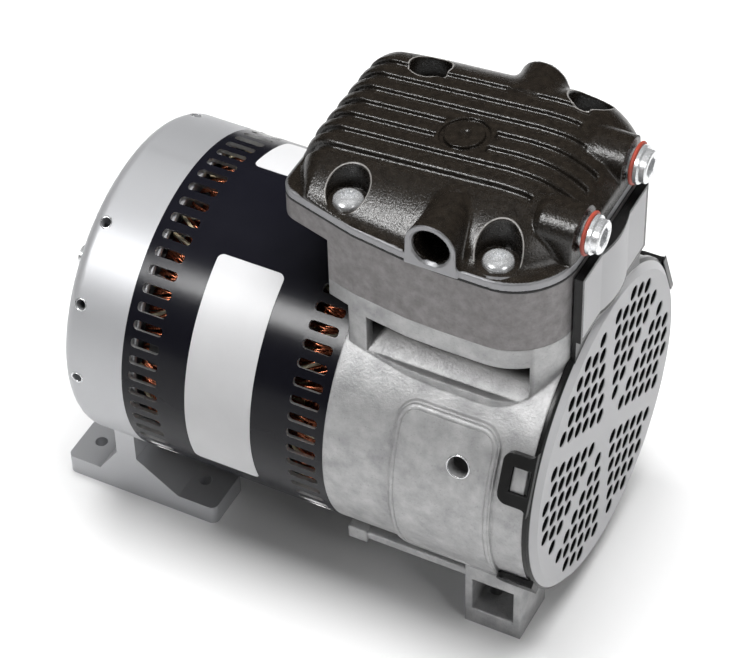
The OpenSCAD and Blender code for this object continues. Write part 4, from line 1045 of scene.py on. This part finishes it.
def make_screw(name, x, y):
    """One pan-head screw, its axis upright: foot, rim, dome and a star recess."""
    dome = dome_rows(5.7, 1.5, 2.7, 2.75)
    rows = [(0, 0), (0, 5.2), (0.2, 5.7), (0.9, 5.9)] + dome + [
        (dome[-1][0] - 0.3, 2.45), (2.2, 2.1), (2.0, 0)]
    star = np.array([0] * (4 + len(dome) - 1) + [0.4, 1, 1, 0])
    points = turned(rows, star, lambda t: 1 + 0.2 * np.cos(6 * t))
    points = np.stack([x + points[:, 1], y + points[:, 2], HEAD_BASE + 3 + points[:, 0]], axis=1)
    return keep_creases(close_up(make_piece(name, points, grid_faces(len(rows), 72), zinc)), 50)


spots = [(x, side * y) for x, y, _ in WELLS for side in SIDES.values()]
screws = [make_screw(f"head_screw_{i}", x, y) for i, (x, y) in enumerate(spots)]
for screw in screws:
    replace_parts(screw, "head_screws")


# %% Plugs and their gaskets
def hexagon(t):
    """Distance to a hexagon's side over that to its corner circle, by angle."""
    return np.cos(np.pi / 6) / np.cos((t % (np.pi / 3)) - np.pi / 6)


def make_plug(word, side):
    """A plug: stem, stepped rim, raised face and a hexagonal socket, its axis along the shaft."""
    rows = [(166, 0), (166, 5.6), (173.8, 5.6), (173.8, 7.0), (174.1, 7.4), (175.4, 7.4), (175.7, 7.1),
            (175.7, 6.6), (175.9, 6.4), (178.0, 6.4), (178.5, 5.9), (178.5, 4.2), (178.2, 3.9),
            (174.4, 3.8), (174.2, 0)]
    hexed = np.array([0] * 12 + [1, 1, 0])
    points = turned(rows, hexed, hexagon)
    points[:, 1:] += [side * PLUG_Y, PLUG_Z]
    plug = make_piece(f"{word}_plug", points, grid_faces(len(rows), 72), zinc)
    section = [(173.15 + 0.78 * math.sin(a), 7.2 + 1.15 * math.cos(a)) for a in turn_of(14)]
    soft = turned(section)
    soft[:, 1:] += [side * PLUG_Y, PLUG_Z]
    gasket = make_piece(f"{word}_gasket", soft, grid_faces(len(section), 72, True, True), rubber_red)
    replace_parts(keep_creases(close_up(plug), 40), "port_plugs")
    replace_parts(close_up(gasket), "plug_gaskets")
    return plug


plugs = [make_plug(word, side) for word, side in SIDES.items()]
print("screws", len(screws), "plugs", len(plugs))

# %% [markdown]
# ## Floor, world and lamps
#
# Product photographs like this are taken in a white cove: a large soft lamp high on the left, a
# weaker one on the right, a wide one overhead, and white all round the floor. The left lamp only
# draws highlights and the overhead one only lights, so the shadow stays close under the machine.
# The floor here is plain white. What the lens sees of the world is white, while the light that the
# world gives and what metal mirrors of it are lower, so that the black enamel stays black.


# %% Floor and world
FLOOR_GLOW, FLOOR_HALF = 0.03, 6
WORLD_LIGHT, WORLD_SEEN = 0.25, 1.0


def make_floor():
    """A broad white floor under the object that keeps its shadow."""
    mesh = bpy.data.meshes.new("floor")
    h = FLOOR_HALF
    mesh.from_pydata([(-h, -h, 0), (h, -h, 0), (h, h, 0), (-h, h, 0)], [], [(0, 1, 2, 3)])
    floor = bpy.data.objects.new("floor", mesh)
    bpy.context.scene.collection.objects.link(floor)
    material, tree, shader = finish_of("white_floor", (0.90, 0.90, 0.90), 0, 0.9)
    shader.inputs["Specular IOR Level"].default_value = 0
    rays = add(tree, "ShaderNodeLightPath")
    shown = math_of(tree, "MAXIMUM", (rays, "Is Camera Ray"), (rays, "Is Glossy Ray"))
    shader.inputs["Emission Color"].default_value = (1, 1, 1, 1)
    link(tree, math_of(tree, "MULTIPLY", shown, FLOOR_GLOW), (shader, "Emission Strength"))
    mesh.materials.append(material)
    return floor


floor = make_floor()
world = bpy.data.worlds.new("white_room")
bpy.context.scene.world = world
world.use_nodes = True
sky = world.node_tree
background = sky.nodes["Background"]
rays = add(sky, "ShaderNodeLightPath")
seen = math_of(sky, "MAXIMUM", (rays, "Is Camera Ray"), (rays, "Is Transmission Ray"))
link(sky, ranged(sky, seen, out_low=WORLD_LIGHT, out_high=WORLD_SEEN), (background, "Strength"))
print("world gives", WORLD_LIGHT, "and shows", WORLD_SEEN)


# %% Lamps
def soft_lamp(name, at, aim, size, power):
    """A square soft lamp at a point, turned to face aim."""
    data = bpy.data.lights.new(name, "AREA")
    data.shape, data.size, data.size_y = "RECTANGLE", size[0], size[1]
    data.energy = power
    lamp = bpy.data.objects.new(name, data)
    bpy.context.scene.collection.objects.link(lamp)
    lamp.location = at
    lamp.rotation_euler = (Vector(aim) - Vector(at)).to_track_quat("-Z", "Y").to_euler()
    return lamp


key_lamp = soft_lamp("key_lamp", (-0.55, -1.05, 1.25), (0, 0, 0.1), (0.34, 0.40), 17)
key_lamp.visible_diffuse = False
soft_lamp("fill_lamp", (1.3, -0.5, 0.9), (0, 0, 0.1), (0.5, 0.9), 5)
back_lamp = soft_lamp("back_lamp", (-0.02, 0.12, 1.6), (0, 0, 0.1), (1.3, 1.0), 42)
back_lamp.visible_glossy = False
